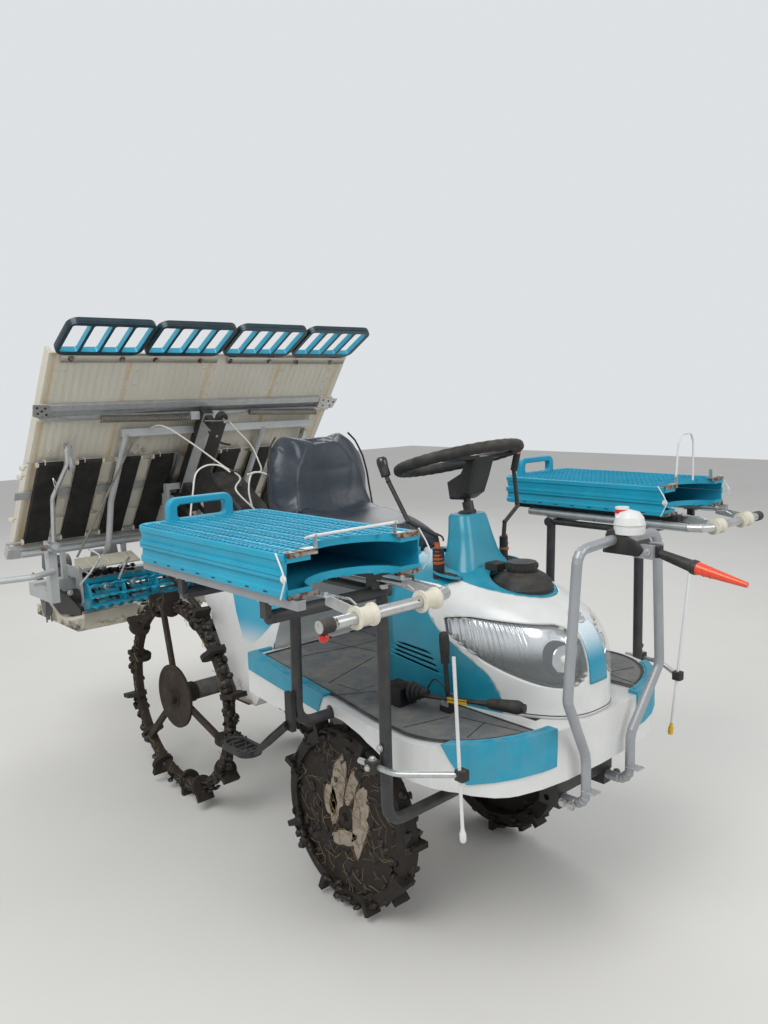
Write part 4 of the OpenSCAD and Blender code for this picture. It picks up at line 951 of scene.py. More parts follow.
@dataclass
class Dash:
    """Top of the bonnet round the column: the tower, its boots, knobs and the small switch panel."""
    knobs: tuple = ((992, -200, 1236, 14), (1123, 206, 1250, 10))
    # heights of the column cover, each with its rear and front X, half width and corner radius
    cover: tuple = ((930, 1060, 1204, 103, 34), (946, 1066, 1195, 97, 34), (966, 1077, 1184, 85, 34),
                    (990, 1083, 1174, 73, 32), (1035, 1082, 1161, 62, 28), (1080, 1078, 1148, 54, 25),
                    (1088, 1083, 1143, 49, 22))

    def build(self) -> None:
        """Makes the dash's pieces."""
        oval = [(15 + 44 * math.cos(t), 26 * math.sin(t)) for t in (math.tau * k / 36 for k in range(36))]
        for side, y in ((Side.RIGHT, -126), (Side.LEFT, 124)):
            place = Matrix.Translation((1138, y, 944)) @ Matrix.Rotation(math.radians(5 * side.value), 4, "X") \
                @ Matrix.Rotation(math.radians(6), 4, "Y")
            rim = frame_of([(x * 1.06, v * 1.1) for x, v in oval], oval, -3, 4, place)
            make(f"dash_oval_rim_{side.word}", rim, TEAL_ABS, "chassis", bevel=1.2)
            make(f"dash_oval_plate_{side.word}", plate(oval, -3, 0.6, place), BLACK_NYLON, "chassis")
            slot = [place @ Vector(p) for p in ((-18, -4, 0.8), (8, 2, 0.8), (10, 14, 0.8), (38, 14, 0.8))]
            make(f"dash_gate_slot_{side.word}", tube(bent(slot, 6), 2.6, 8), RUBBER_BLACK, "chassis")
        cover = loft([[(x, y, z) for x, y in rounded(front - rear, 2 * half, r, (rear + front) / 2, 0, 7)]
                      for z, rear, front, half, r in self.cover])
        make("column_cover_shell", cover, TEAL_ABS, "chassis", angle=50, replaces=("column_cover",))
        boot = turned([(15, 0), (17, 6), (13, 11), (16, 16), (12, 21), (14, 26), (10, 31), (12, 36), (8, 42),
                       (7, 60)], (1124, -128, 968), (0.05, -0.12, 1), 28)
        make("dash_lever_boot_right", boot, BOOT_RUST, "chassis", angle=70)
        make("dash_lever_boot_left", turned([(13, 0), (14, 5), (10, 12), (12, 18), (8, 26), (7, 44)],
                                            (1139, 121, 972), (0, 0.12, 1), 28), BOOT_RUST, "chassis", angle=70)
        collar = turned([(26, -3), (26, 3), (21, 8), (17, 9), (17, -3)], (1111, 0, 1088), (-0.26, 0, 0.97), 32)
        make("column_collar", collar, RUBBER_BLACK, "chassis", bevel=0.8)
        for i, (x, y, z, r) in enumerate(self.knobs):
            knob = turned([(7, -34), (r * 0.8, -30), (r, -12), (r * 1.08, 0), (r, 9), (r * 0.6, 15), (0.1, 17)],
                          (x, y, z), (-0.3 if y < 0 else 0.25, 0, 1), 24)
            make(f"lever_grip_{i + 1}", knob, KNOB_BLACK if y < 0 else KNOB_ORANGE, "chassis", angle=60)
        make("choke_box", block((1204, -36, 945), (1246, 8, 968)), RUBBER_BLACK, "chassis", bevel=3)
        flutes = [block((1300 + 40.5 * math.cos(t) - 2.2, 40.5 * math.sin(t) - 2.2, 961),
                        (1300 + 40.5 * math.cos(t) + 2.2, 40.5 * math.sin(t) + 2.2, 973))
                  for t in (math.tau * k / 18 for k in range(18))]
        make("fuel_cap_grips", merge(*flutes), RUBBER_BLACK, "chassis", bevel=1.0)


@dataclass
class SteeringWheel:
    """Moulded grips on the rim and the horn pad of the steering wheel."""
    x: float = 1082
    z: float = 1235
    rim_r: float = 166
    lean: float = 15
    # side view of the boss, from the column forward and up to the spokes
    boss: tuple = ((-32, -106), (6, -114), (38, -104), (68, -64), (100, -16), (72, -8), (34, -44), (-28, -58))

    def build(self) -> None:
        """Makes the wheel's trim."""
        tilt = Matrix.Translation((self.x, 0, self.z)) @ Matrix.Rotation(math.radians(-self.lean), 4, "Y")
        path = [tilt @ Vector((self.rim_r * math.cos(t), self.rim_r * math.sin(t), 0))
                for t in (math.tau * k / 144 for k in range(144))]
        radii = [15.1 + 0.55 * math.sin(k * math.tau * 36 / 144) for k in range(144)]
        make("steering_rim_cover", tube(path, radii, 20, wrap=True), RUBBER_BLACK, "steering_wheel", angle=60)
        boss = loft([[(mid + (x - mid) * k, y, -60 + (z + 60) * k) for x, z in self.boss]
                     for y, k, mid in ((-40, 0.86, 20), (-34, 0.97, 20), (-24, 1, 20), (24, 1, 20), (34, 0.97, 20),
                                       (40, 0.86, 20))])
        arms = [loft([[(a, y, z), (b, y, z), (b, y, z - 11), (a, y, z - 11)] for a, b, y, z in
                      ((64, 96, s * 20, -10), (60, 88, s * 70, -8), (54, 78, s * 120, -2), (46, 70, s * 152,
                                                                                            2))][::s])
                for s in (1, -1)]
        stub = turned([(10, -190), (10, -108), (24, -108), (24, -96)], (0, 0, 0), (0, 0, 1), 24)
        made = merge(moved(merge(boss, *arms, stub), tilt), tube(path, 14.6, 16, wrap=True))
        make("steering_wheel_body", made, BLACK_NYLON, "steering_wheel", bevel=2.0, replaces=("steering_wheel",))


@dataclass
class Seat:
    """Padded driver's seat: one vinyl skin over foam, on a black moulded shell."""
    spine: tuple = ((846, 950), (820, 968), (740, 980), (640, 985), (560, 990), (502, 1020), (478, 1085),
                    (468, 1150), (458, 1210), (445, 1262), (436, 1300))
    half: tuple = (176, 198, 202, 201, 200, 203, 206, 203, 193, 172, 130)
    front: tuple = (16, 31, 44, 50, 52, 44, 34, 33, 30, 24, 10)
    hollow: tuple = (0, 4, 14, 20, 22, 19, 15, 14, 10, 4, 0)
    back: tuple = (20, 38, 50, 55, 56, 58, 56, 52, 44, 34, 12)
    floor_z: float = 926.0
    cap_mm: float = 22.0

    def station(self, t: float) -> tuple:
        """The seat's section at a share of its length.

        Args:
            t: share of the way from the front lip to the top of the back.

        Returns:
            Middle, outward direction, half width, crown, hollow and depth behind.
        """
        n = len(self.spine) - 1
        i = min(int(t * n), n - 1)
        u = t * n - i
        path = [Vector((x, 0, z)) for x, z in self.spine]
        p = [path[min(max(i + k, 0), n)] for k in (-1, 0, 1, 2)]
        mid = 0.5 * (2 * p[1] + (p[2] - p[0]) * u + (2 * p[0] - 5 * p[1] + 4 * p[2] - p[3]) * u * u
                     + (3 * p[1] - p[0] - 3 * p[2] + p[3]) * u ** 3)
        way = ((p[2] - p[0]) * (1 - u) + (p[3] - p[1]) * u).normalized()
        out = Vector((way.z, 0, -way.x))
        return (mid, out, *[row[i] * (1 - u) + row[i + 1] * u for row in
                            (self.half, self.front, self.hollow, self.back)])

    def skin(self, t: float, s: float, lift: float = 0.0) -> Vector:
        """A point of the seat's face.

        Args:
            t: share of the way from lip to top.
            s: share of the half width, positive to the left.
            lift: distance outwards.

        Returns:
            The point.
        """
        mid, out, wide, crown, hollow, _ = self.station(t)
        rise = crown * max(1 - abs(s) ** 5, 0.0) ** 0.5
        dip = hollow * math.cos(math.pi / 2 * min(abs(s) / 0.72, 1)) ** 1.2
        return mid + out * (rise - dip + lift) + Vector((0, wide * s, 0))

    def form(self) -> Mesh:
        """The closed form that the pressure swells."""
        rings = []
        for t in steps(0.0, 1.0, 56):
            mid, out, wide, _, _, depth = self.station(t)
            face = [self.skin(t, math.sin(math.pi / 2 * k / 14)) for k in range(-14, 15)]
            rear = [mid - out * depth * max(1 - abs(s) ** 6, 0.0) ** 0.35 + Vector((0, wide * s, 0))
                    for s in (math.sin(math.pi / 2 * k / 12) for k in range(11, -12, -1))]
            rings.append(face + rear)
        return loft(rings)

    def swell(self, obj: bpy.types.Object) -> None:
        """Remeshes the form and lets the foam's pressure fill the skin.

        Args:
            obj: the form's object.
        """
        mesh = obj.modifiers.new("voxels", "REMESH")
        mesh.mode = "VOXEL"
        mesh.voxel_size = 0.006
        self.apply(obj)
        start = [v.co.copy() for v in obj.data.vertices]
        cloth = obj.modifiers.new("foam", "CLOTH")
        cloth.settings.use_pressure = True
        cloth.settings.uniform_pressure_force = 4.0
        cloth.settings.effector_weights.gravity = 0.0
        cloth.settings.quality = 4
        cloth.settings.tension_stiffness = 25
        for frame_no in range(1, 21):
            bpy.context.scene.frame_set(frame_no)
        self.apply(obj)
        bpy.context.scene.frame_set(1)
        for v, was in zip(obj.data.vertices, start):
            move = v.co - was
            if move.length > self.cap_mm / 1000:
                v.co = was + move.normalized() * self.cap_mm / 1000
            v.co.z = max(v.co.z, self.floor_z / 1000)
            v.co.x = min(max(v.co.x, 0.4090 - AXLE_BACK), 0.857 - AXLE_BACK)
            v.co.y = min(max(v.co.y, -0.214), 0.214)
            v.co.z = min(v.co.z, 1.314)

    @staticmethod
    def apply(obj: bpy.types.Object) -> None:
        """Turns an object's modifiers into its mesh."""
        done = bpy.data.meshes.new_from_object(obj.evaluated_get(bpy.context.evaluated_depsgraph_get()))
        obj.modifiers.clear()
        obj.data = done

    def seams(self) -> list[list[Vector]]:
        """The channels: a curved one down each side of the back, one across it, and two along the cushion."""
        lines = []
        for sign in (-1, 1):
            for points in (((0.90, 0.66), (0.83, 0.60), (0.72, 0.50), (0.62, 0.44), (0.575, 0.34)),
                           ((0.40, 0.44), (0.30, 0.52), (0.2, 0.50), (0.13, 0.42))):
                lines.append([self.skin(p.x, p.y) for p in curve([(t, sign * s, 0) for t, s in points], 60)])
        lines.append([self.skin(0.735, s) for s in steps(-0.45, 0.45, 60)])
        return lines

    def sew(self, obj: bpy.types.Object, depth: float = 6.0, width: float = 8.0) -> None:
        """Draws the skin in along the sewn lines.

        Args:
            obj: the seat.
            depth: how deep a seam lies, in millimetres.
            width: how wide its channel is.
        """
        tree = KDTree(sum(len(line) for line in self.seams()))
        for k, p in enumerate(q for line in self.seams() for q in line):
            tree.insert(at(*p), k)
        tree.balance()
        normals = [v.normal.copy() for v in obj.data.vertices]
        for v, normal in zip(obj.data.vertices, normals):
            _, _, far = tree.find((v.co.x, v.co.y, v.co.z))
            pull = math.exp(-(max(far * 1000 - 10, 0) / width) ** 2) * (normal.x + normal.z > 0.25)
            v.co -= normal * depth / 1000 * pull

    def build(self) -> None:
        """Makes the seat's pieces."""
        obj = make("seat_cushion_and_back", self.form(), GREY_VINYL, "seat_tip", angle=180, replaces=("seat",))
        self.swell(obj)
        self.sew(obj)
        obj.data.materials.clear()
        obj.data.materials.append(GREY_VINYL.build())
        obj.data.shade_smooth()
        obj.modifiers.new("smooth", "SUBSURF").levels = 1
        obj.modifiers["smooth"].render_levels = 1
        edge = [self.edge(t) for t in steps(0.05, 0.96, 60)]
        make("seat_piping", both(tube(edge, 3.2, 8)), RUBBER_BLACK, "seat_tip")

    def edge(self, t: float) -> Vector:
        """A point where the vinyl's face meets the shell, on the left."""
        mid, out, wide, _, _, _ = self.station(t)
        return mid + Vector((0, wide + 2.5, 0)) - out * 3


@dataclass
class Carrier:
    """Seedling carrier of one side: two stacked trays with their ribs, strips, bails, hooks and rollers."""
    side: Side
    front: float = 1424
    long: float = 597
    y: float = 488
    wide: float = 347
    z: float = 1047
    high: float = 42
    roller: Point = (1534, 0, 1019)

    def lanes(self, top: float, sign: int) -> Mesh:
        """The moulded net on a tray's floor: lanes of small rungs between long ribs.

        Args:
            top: height of the floor's face.
            sign: 1 where the face looks up, -1 where it looks down.

        Returns:
            The net.
        """
        parts = []
        rear = self.front - self.long
        for i in range(7):
            y0 = self.y + (i + 0.5) * self.wide / 7
            for k in range(34):
                x = rear + 26 + k * 16.4
                if math.hypot((x - self.front) / 0.72, y0 - self.y - self.wide / 2) < 116:
                    continue
                half = 17 if k % 3 else 20
                parts.append(block((x - 2.2, y0 - half, min(top, top + sign * 2.6)),
                                   (x + 2.2, y0 + half, max(top, top + sign * 2.6))))
        for i in range(14):
            y0 = self.y + 13 + i * (self.wide - 26) / 13
            end = self.front - (84 if abs(y0 - self.y - self.wide / 2) < 104 else 16)
            parts.append(block((rear + 14, y0 - 1.1, min(top, top + sign * 3.4)),
                               (end, y0 + 1.1, max(top, top + sign * 3.4))))
        return merge(*parts)

    def shell(self, base: float, sign: int) -> Mesh:
        """One moulded tray: a floor with the notch in its front edge, and a stepped wall round three sides.

        Args:
            base: height of the tray's floor.
            sign: 1 for the lower tray, -1 for the inverted upper one.

        Returns:
            The tray.
        """
        rear, bend, far = self.front - self.long, 40.0, self.y + self.wide
        path = [(self.front - 4, self.y, 0, -1)]
        for x, y, start in ((rear + bend, self.y + bend, 270), (rear + bend, far - bend, 180)):
            for k in range(9):
                a = math.radians(start - 90 * k / 8)
                path.append((x + bend * math.cos(a), y + bend * math.sin(a), math.cos(a), math.sin(a)))
        path.append((self.front - 4, far, 0, 1))
        profile = ((0, 0), (3, 2), (3, 13), (0, 16), (-2, 33), (4, 35), (4, 42), (-3, 42), (-6, 6), (-6, 3))
        wall = loft([[(x + u * out, y + v * out, base + sign * h) for out, h in profile] for x, y, u, v in path])
        notch = [(self.front - 84 * math.sin(a), self.y + self.wide / 2 + 116 * math.cos(a))
                 for a in steps(math.pi, 0, 18)]
        floor = [(x - 3 * u, y - 3 * v) for x, y, u, v in path]
        edge = [(self.front, far - 3)] + notch[::-1] + [(self.front, self.y + 3)]
        floor = plate((floor + edge)[::-1], *sorted((base + sign * 3, base + sign * 6)))
        low, high = sorted((base + sign * 1.5, base + sign * 17))
        lip = loft([[(x - 0.2, y, low), (x - 3.2, y, low), (x - 3.2, y, high), (x - 0.2, y, high)] for x, y in edge])
        return merge(wall, floor, lip)

    def drain_slot_shade(self, base: float, sign: int) -> Mesh:
        """Painted shade of the short drain slots in a tray's lower band: thin black plates outside on both its sides.

        Args:
            base: height of the tray's floor.
            sign: 1 for the lower tray, -1 for the inverted upper one.

        Returns:
            The black plates that paint the slots' shade.
        """
        parts = []
        for k in range(8):
            x = self.front - self.long + 90 + k * 62
            low, high = sorted((base + sign * 6.0, base + sign * 9.0))
            for y0, y1 in ((self.y - 3.3, self.y - 2.8), (self.y + self.wide + 2.8, self.y + self.wide + 3.3)):
                parts.append(block((x, y0, low), (x + 13, y1, high)))
        return merge(*parts)

    def strips(self, level: float, sign: int) -> Mesh:
        """The galvanised angle strips on both sides of the notch in a tray's front edge.

        Args:
            level: height of the floor's face.
            sign: 1 for the upper tray, -1 for the lower one.

        Returns:
            The strips.
        """
        parts = []
        for y0, y1 in ((self.y + 4, self.y + 68), (self.y + self.wide - 74, self.y + self.wide - 3)):
            z0, z1 = sorted((level, level + sign * 1.8))
            parts.append(block((self.front - 17, y0, z0), (self.front + 2, y1, z1)))
            z0, z1 = sorted((level + sign * 1.8, level - sign * 8))
            parts.append(block((self.front + 0.4, y0, z0), (self.front + 2, y1, z1)))
        return merge(*parts)

    def build(self) -> None:
        """Makes the carrier's pieces."""
        s, word = self.side, self.side.word
        upper, lower = f"upper_tray_{word}", "chassis"
        top = self.z + 2 * self.high + 1
        make(f"tray_net_upper_{word}", on(s, self.lanes(top - 3.0, 1)), TEAL_PP, upper)
        make(f"tray_net_lower_{word}", on(s, self.lanes(self.z + 3.0, -1)), TEAL_PP, lower)
        make(f"tray_shell_upper_{word}", on(s, self.shell(top, -1)), TEAL_PP, upper, angle=35,
             replaces=(f"upper_tray_{word}",))
        make(f"tray_shell_lower_{word}", on(s, self.shell(self.z, 1)), TEAL_PP, lower, angle=35,
             replaces=(f"lower_tray_{word}",))
        rear = Matrix(((0, 0, -1, self.front - self.long + 16), (1, 0, 0, self.y + self.wide / 2), (0, 1, 0, top),
                       (0, 0, 0, 1)))
        make(f"tray_handle_{word}", on(s, frame_of(rounded(180, 92, 24, 0, 6), rounded(132, 32, 11, 0, 18), 2, 24,
                                                   rear)), TEAL_PP, upper, bevel=5)
        # Painted shade: thin black plates stand for the shade inside the drain slots.
        make(f"tray_slots_lower_{word}", on(s, self.drain_slot_shade(self.z, 1)), RUBBER_BLACK, lower)
        make(f"tray_strips_upper_{word}", on(s, self.strips(top, 1)), RUSTY_ZINC, upper, bevel=0.4)
        make(f"tray_strips_lower_{word}", on(s, self.strips(self.z, -1)), RUSTY_ZINC, lower, bevel=0.4)
        x, y0, y1 = self.front - 8, self.y + 66, self.y + self.wide - 70
        risers = merge(block((x - 10, y0 - 22, top + 1.8), (x + 9, y0 + 4, top + 4)),
                       block((x - 2, y0 + 2, top + 1.8), (x + 9, y0 + 4, top + 30)),
                       block((x - 10, y1 - 4, top + 1.8), (x + 9, y1 + 24, top + 4)),
                       block((x - 2, y1 - 4, top + 1.8), (x + 9, y1 - 2, top + 30)))
        make(f"bail_risers_{word}", on(s, risers), ZINC, upper, bevel=0.6)
        if s is Side.RIGHT:
            bail = bent([(x + 3, y0 - 4, top + 26), (x + 3, y0 + 3, top + 26), (x + 3, y1 + 6, top + 26),
                         (x - 14, y1 + 6, top + 20)], 4)
        else:
            bail = bent([(x + 3, y0 + 3, top + 24), (x + 6, y0 + 8, top + 120), (x + 8, y0 + 24, top + 146),
                         (x + 8, y0 + 74, top + 146), (x + 6, y0 + 92, top + 122), (x + 3, y0 + 100, top + 5)], 14)
        make(f"wire_bail_{word}", on(s, tube(bail, 3.0, 10)), WHITE_WIRE, upper)
        loops = []
        for y, out in ((self.y - 11, -1), (self.y + self.wide + 11, 1)):
            loops.append(tube(bent([(self.front - 16, y, top + 3), (self.front + 4, y + out * 2, top - 24),
                                    (self.front + 15, y + out * 3, top - 44), (self.front + 3, y + out * 2,
                                                                               self.z + 16),
                                    (self.front - 6, y, self.z + 2)], 16), 1.7, 8))
            loops.append(turned([(8, 0), (8, 2), (4.5, 2.5), (4.5, 5)], (self.front + 7, y, top - 43), (0, out,
                                                                                                        0), 18))
        make(f"wire_hooks_{word}", on(s, merge(*loops)), WHITE_WIRE, lower)
        x, _, z = self.roller
        sleeve = turned([(13.2, 0), (14.6, 2), (14.6, 26), (13.4, 29), (0.1, 29.4)], (x, 819, z), (0, 1, 0), 28)
        make(f"roller_tube_cap_{word}", on(s, sleeve), RUBBER_BLACK, lower)
        ball = turned([(9.5 * math.sin(t), -9.5 * math.cos(t)) for t in steps(0.05, 3.09, 14)], (x - 4, 836, z - 22),
                      (0, 1, 0), 24)
        stem = tube([(x - 4, 836, z - 14), (x - 2, 836, z - 8)], 3, 8)
        if s is Side.RIGHT:
            make("roller_tube_red_ball", on(s, merge(ball, stem)), RED_PLASTIC, lower)
        pins = []
        for y in (580, 745):
            pins += [turned([(11.5, -25), (12.6, -24), (12.6, -22)], (x, y, z), (0, 1, 0), 20)]
            for k in range(6):
                t = math.tau * k / 6
                pins.append(tube([(x + 17 * math.cos(t), y - 21, z + 17 * math.sin(t)),
                                  (x + 17 * math.cos(t), y - 22.6, z + 17 * math.sin(t))], 1.6, 8))
        make(f"roller_rings_{word}", on(s, merge(*pins)), WHITE_PP, lower)
        plates = []
        for y in (self.y + 72, self.y + self.wide - 76):
            plates.append(plate(rounded(92, 22, 4), 0, 2.5,
                                Matrix.Translation((self.front + 62, y + 1, z + 12))
                                @ Matrix.Rotation(math.radians(90), 4, "X") @ Matrix.Rotation(math.radians(-8),
                                                                                              4, "Z")))
            plates.append(block((self.front - 30, y - 12, self.z - 3.5), (self.front + 34, y + 12, self.z - 1)))
            plates.append(bolt((self.front + 18, y, self.z - 1), (0, 0, 1), 6))
        plates += [tube(bent([(self.front + 78, y, z + 14), (self.front + 60, y, z + 22), (self.front - 20, y,
                                                                                           z + 20)],
                             6), 2.4, 8) for y in (self.y + 96, self.y + self.wide - 100)]
        make(f"roller_brackets_{word}", on(s, merge(*plates)), ZINC, lower, bevel=0.5)
        feet = []
        rail = block((self.front - self.long + 18, self.y + self.wide - 27, self.z - 19.6),
                     (self.front + 21, self.y + self.wide - 7, self.z - 0.3))
        make(f"carrier_channel_{word}", on(s, rail), SILVER_PAINT, lower, bevel=1.0)
        for x in (1008, 1327):
            for y in (self.y + 52, self.y + self.wide - 17):
                feet.append(bolt((x - 20, y, self.z - 19), (0, 0, -1), 6))
                feet.append(bolt((x + 20, y, self.z - 19), (0, 0, -1), 6))
            feet.append(turned([(15.3, 0), (15.3, 10)], (x, 515, 1000), (0, 0, 1), 24))
        make(f"carrier_clamps_{word}", on(s, merge(*feet)), ZINC, lower)


@dataclass
class Guard:
    """Front guard with its lamp head, the centre marker and the two side markers."""

    def build(self) -> None:
        """Makes the pieces on the guard and the markers."""
        head = [(1560, 1036), (1572, 1090), (1590, 1094), (1652, 1072), (1668, 1052), (1654, 1036)]
        shell = loft([[(x, y, z) for x, z in
                       ((1612 + (px - 1612) * s, 1062 + (pz - 1062) * s) for px, pz in head)]
                      for y, s in ((-30, 0.82), (-27, 1), (27, 1), (30, 0.82))])
        make("guard_head_cover", shell, RUBBER_BLACK, "chassis", bevel=3)
        cap = turned([(16.6, 0), (16.6, 8), (15, 12), (8, 14), (0.1, 14.4)], (1596, 0, 1129), (0, 0, 1), 28)
        make("guard_lamp_red_cap", cap, RED_PLASTIC, "chassis")
        make("guard_lamp_seam", turned([(36.8, 20), (37.4, 21), (36.8, 22)], (1616, 0, 1083.3), (0, 0, 1), 40),
             BEZEL_GREY, "chassis")
        pivots = both(turned([(9, 0), (9, 3), (5, 4), (5, 7)], (1676, 23, 1049), (0, 1, 0), 20))
        make("centre_marker_pivot_nuts", pivots, ZINC, "chassis")
        collar = turned([(15, -8), (16.6, -5), (16.6, 4), (15.6, 6)], (1779, 0, 1024.4), (0.98, 0, -0.19), 28)
        make("centre_marker_collar", collar, BLACK_NYLON, "centre_marker")
        rings = [tube([(1786 + 15 * k + 0.0, r * math.cos(t), 1023 - 2.85 * k + r * math.sin(t)) for t in
                       (math.tau * i / 28 for i in range(28))], 0.7, 6, wrap=True)
                 for k, r in ((0, 14.6), (1, 13.5), (2, 12.4))]
        make("centre_marker_rings", merge(*rings), ORANGE_ACRYLIC, "centre_marker")
        blocks = [plate(rounded(26, 24, 4, 1496, 450), 592, 616),
                  plate(rounded(30, 26, 4, 1318, 548), 586, 614)]
        make("side_marker_clamps", both(merge(*blocks)), RUBBER_BLACK, "chassis", bevel=1.5)
        bolts = [bolt((1318, 548, 614), (0, 0, 1), 8), bolt((1318, 562, 600), (0, 1, 0), 7),
                 bolt((1327, 533, 640), (0, 1, 0), 8)]
        make("side_marker_bolts", both(merge(*bolts)), ZINC, "chassis")
        arm = tube(bent([(1270, 545, 598), (1385, 541, 600), (1495, 450, 604)], 60), 7, 12)
        make("side_marker_arms", both(arm), ZINC, "chassis", replaces=("side_markers",))
        for s, foot, tip in ((Side.RIGHT, (1497, 450, 451), (1489, 462, 867)),
                             (Side.LEFT, (1495, 416, 439), (1495, 506, 894))):
            make(f"side_marker_rod_{s.word}", on(s, tube([foot, tip], 4, 10)), WHITE_WIRE, "chassis")
            end = turned([(5.5, 0), (7.5, 5), (7.5, 20), (5, 26), (4, 34)], foot,
                         tuple(Vector(tip) - Vector(foot)), 16)
            make(f"side_marker_tip_{s.word}", on(s, end), WHITE_WIRE if s is Side.RIGHT else TAPE_YELLOW, "chassis")
        plugs = [bolt((x, s * 116, z), (0, s, 0), 10) for x, z in ((1540, 430), (1515, 430)) for s in (1, -1)]
        make("guard_bolts", merge(*plugs), ZINC, "chassis")


@dataclass
class Deck:
    """Floor: bordered rubber mats, corner pads, boots and grips of the floor controls, plain side fields."""
    mat_z: float = 635
    joints: tuple = (((1270, -406), (1301, -282)), ((1419, -347), (1388, -253), (1525, -226)),
                     ((1309, -268), (1388, -253)), ((892, -329), (807, -87)), ((974, -388), (1035, -282)),
                     ((917, -318), (996, -312), (997, -256)), ((640, -241), (676, -65), (788, -42)),
                     ((552, -76), (676, -65), (678, 38)))

    def outline(self, inset: float, low: float, high: float) -> list[tuple]:
        """Points of the deck's rounded front part on the left, with Y between two limits."""
        found = []
        for k in range(60):
            a = math.radians(90 * k / 59)
            x = 1300 + (245 - inset) * math.sin(a)
            y = (455 - inset) * math.cos(a) ** 0.7
            if low <= y <= high:
                found.append((x, y))
        return found

    def build(self) -> None:
        """Makes the deck's pieces."""
        strips = []
        for line in self.joints:
            strips.append(tube([(x, y, self.mat_z + 0.1) for x, y in line], 1.9, 6, flat=0.5))
            strips.append(tube([(x, -y, self.mat_z + 0.1) for x, y in line], 1.9, 6, flat=0.5))
        make("mat_joints", merge(*strips), RUBBER_BLACK, "chassis")
        rim = [(560, 303), (980, 376), (1180, 416), (1300, 427)] + self.outline(29, 225, 426)
        inner = [(1500, 210), (984, 208), (982, 60)]
        edge = tube([(x, y, self.mat_z + 1.0) for x, y in rim], 4.2, 8, flat=0.55)
        lip = tube([(x, y, self.mat_z + 0.6) for x, y in inner], 3.4, 8, flat=0.5)
        rear = tube([(546, 300, self.mat_z + 1), (546, 40, self.mat_z + 1)], 4.2, 8, flat=0.5)
        make("mat_borders", both(merge(edge, lip, rear)), RUBBER_BLACK, "chassis", angle=60)
        dots = []
        for i in range(22):
            for j in range(9):
                x, y = 580 + i * 42 + (j % 2) * 21, 60 + j * 38
                if y > 250 + (x - 560) * 0.13 or (x > 970 and y < 222) or x > 1440 - (y - 220) * 0.4:
                    continue
                dots.append(turned([(6.4, 0), (6.0, 0.9), (0.1, 1.0)], (x, y, self.mat_z - 0.1), (0, 0, 1), 10))
        make("mat_studs", both(merge(*dots)), MAT_RUBBER, "chassis")
        self.pads()
        self.controls()
        for s in (Side.LEFT, Side.RIGHT):
            sheet = [(262, 847), (596, 847), (540, 744), (423, 652), (345, 606), (322, 640), (292, 716)]
            field_ = plate([(x, z) for x, z in sheet][::-1], 0, 0.7,
                           Matrix.Translation((0, s.value * 235.1, 0)) @ Matrix.Rotation(math.radians(90), 4, "X"))
            if s is Side.LEFT:
                field_ = moved(field_, Matrix.Translation((0, 0.7, 0)))
            make(f"body_side_field_{s.word}", field_, SIDE_FADE, "chassis")
        bolts = [bolt((x, 235, z), (0, 1, 0), 5) for x, z in ((330, 440), (470, 600), (120, 780), (560, 830))]
        make("body_side_screws", both(merge(*bolts)), ZINC, "chassis")
        seam = tube([(505, 235.4, 650), (485, 235.4, 560), (478, 235.4, 548)], 1.2, 6)
        make("body_side_seams", both(seam), RUBBER_BLACK, "chassis")
        clamp = [block((1560, s * 94 - 14, 470), (1600, s * 94 + 14, 474)) for s in (1, -1)]
        make("nose_plates", merge(*clamp), ZINC, "chassis", bevel=0.8)

    def pads(self) -> None:
        """Makes the raised wave and anti-slip wedges of the corner pads."""
        waves = []
        line = [(560 + k * 9.5, 0) for k in range(39)]
        rim = tube([(x, 333 + (x - 560) * 0.152 + 3.5 * math.cos((x - 560) / 13), 639.6) for x, _ in line], 3.0, 8)
        waves.append(rim)
        front = self.outline(16, 180, 396)
        waves.append(tube([(x, y, 639.4) for x, y in front], 3.0, 8))
        for x, y in [(590 + k * 40, 336 + k * 6.1) for k in range(9)]:
            waves.append(loft([[(x - 12, y - 1, 638.6), (x + 12, y - 1, 638.6), (x, y + 13, 638.6)],
                               [(x - 8, y + 1, 640.4), (x + 8, y + 1, 640.4), (x, y + 9, 640.4)]]))
        for x, y in front[3:-3:5]:
            d = Vector((x - 1300, y * 1.0, 0)).normalized()
            n = Vector((-d.y, d.x, 0))
            p = Vector((x, y, 638.6)) - d * 2
            waves.append(loft([[p + n * 12, p - n * 12, p + d * 13], [p + n * 8 + Vector((0, 0, 1.8)),
                                p - n * 8 + Vector((0, 0, 1.8)), p + d * 9 + Vector((0, 0, 1.8))]]))
        make("corner_pad_grips", both(merge(*waves)), PAD_PP, "chassis", angle=50)

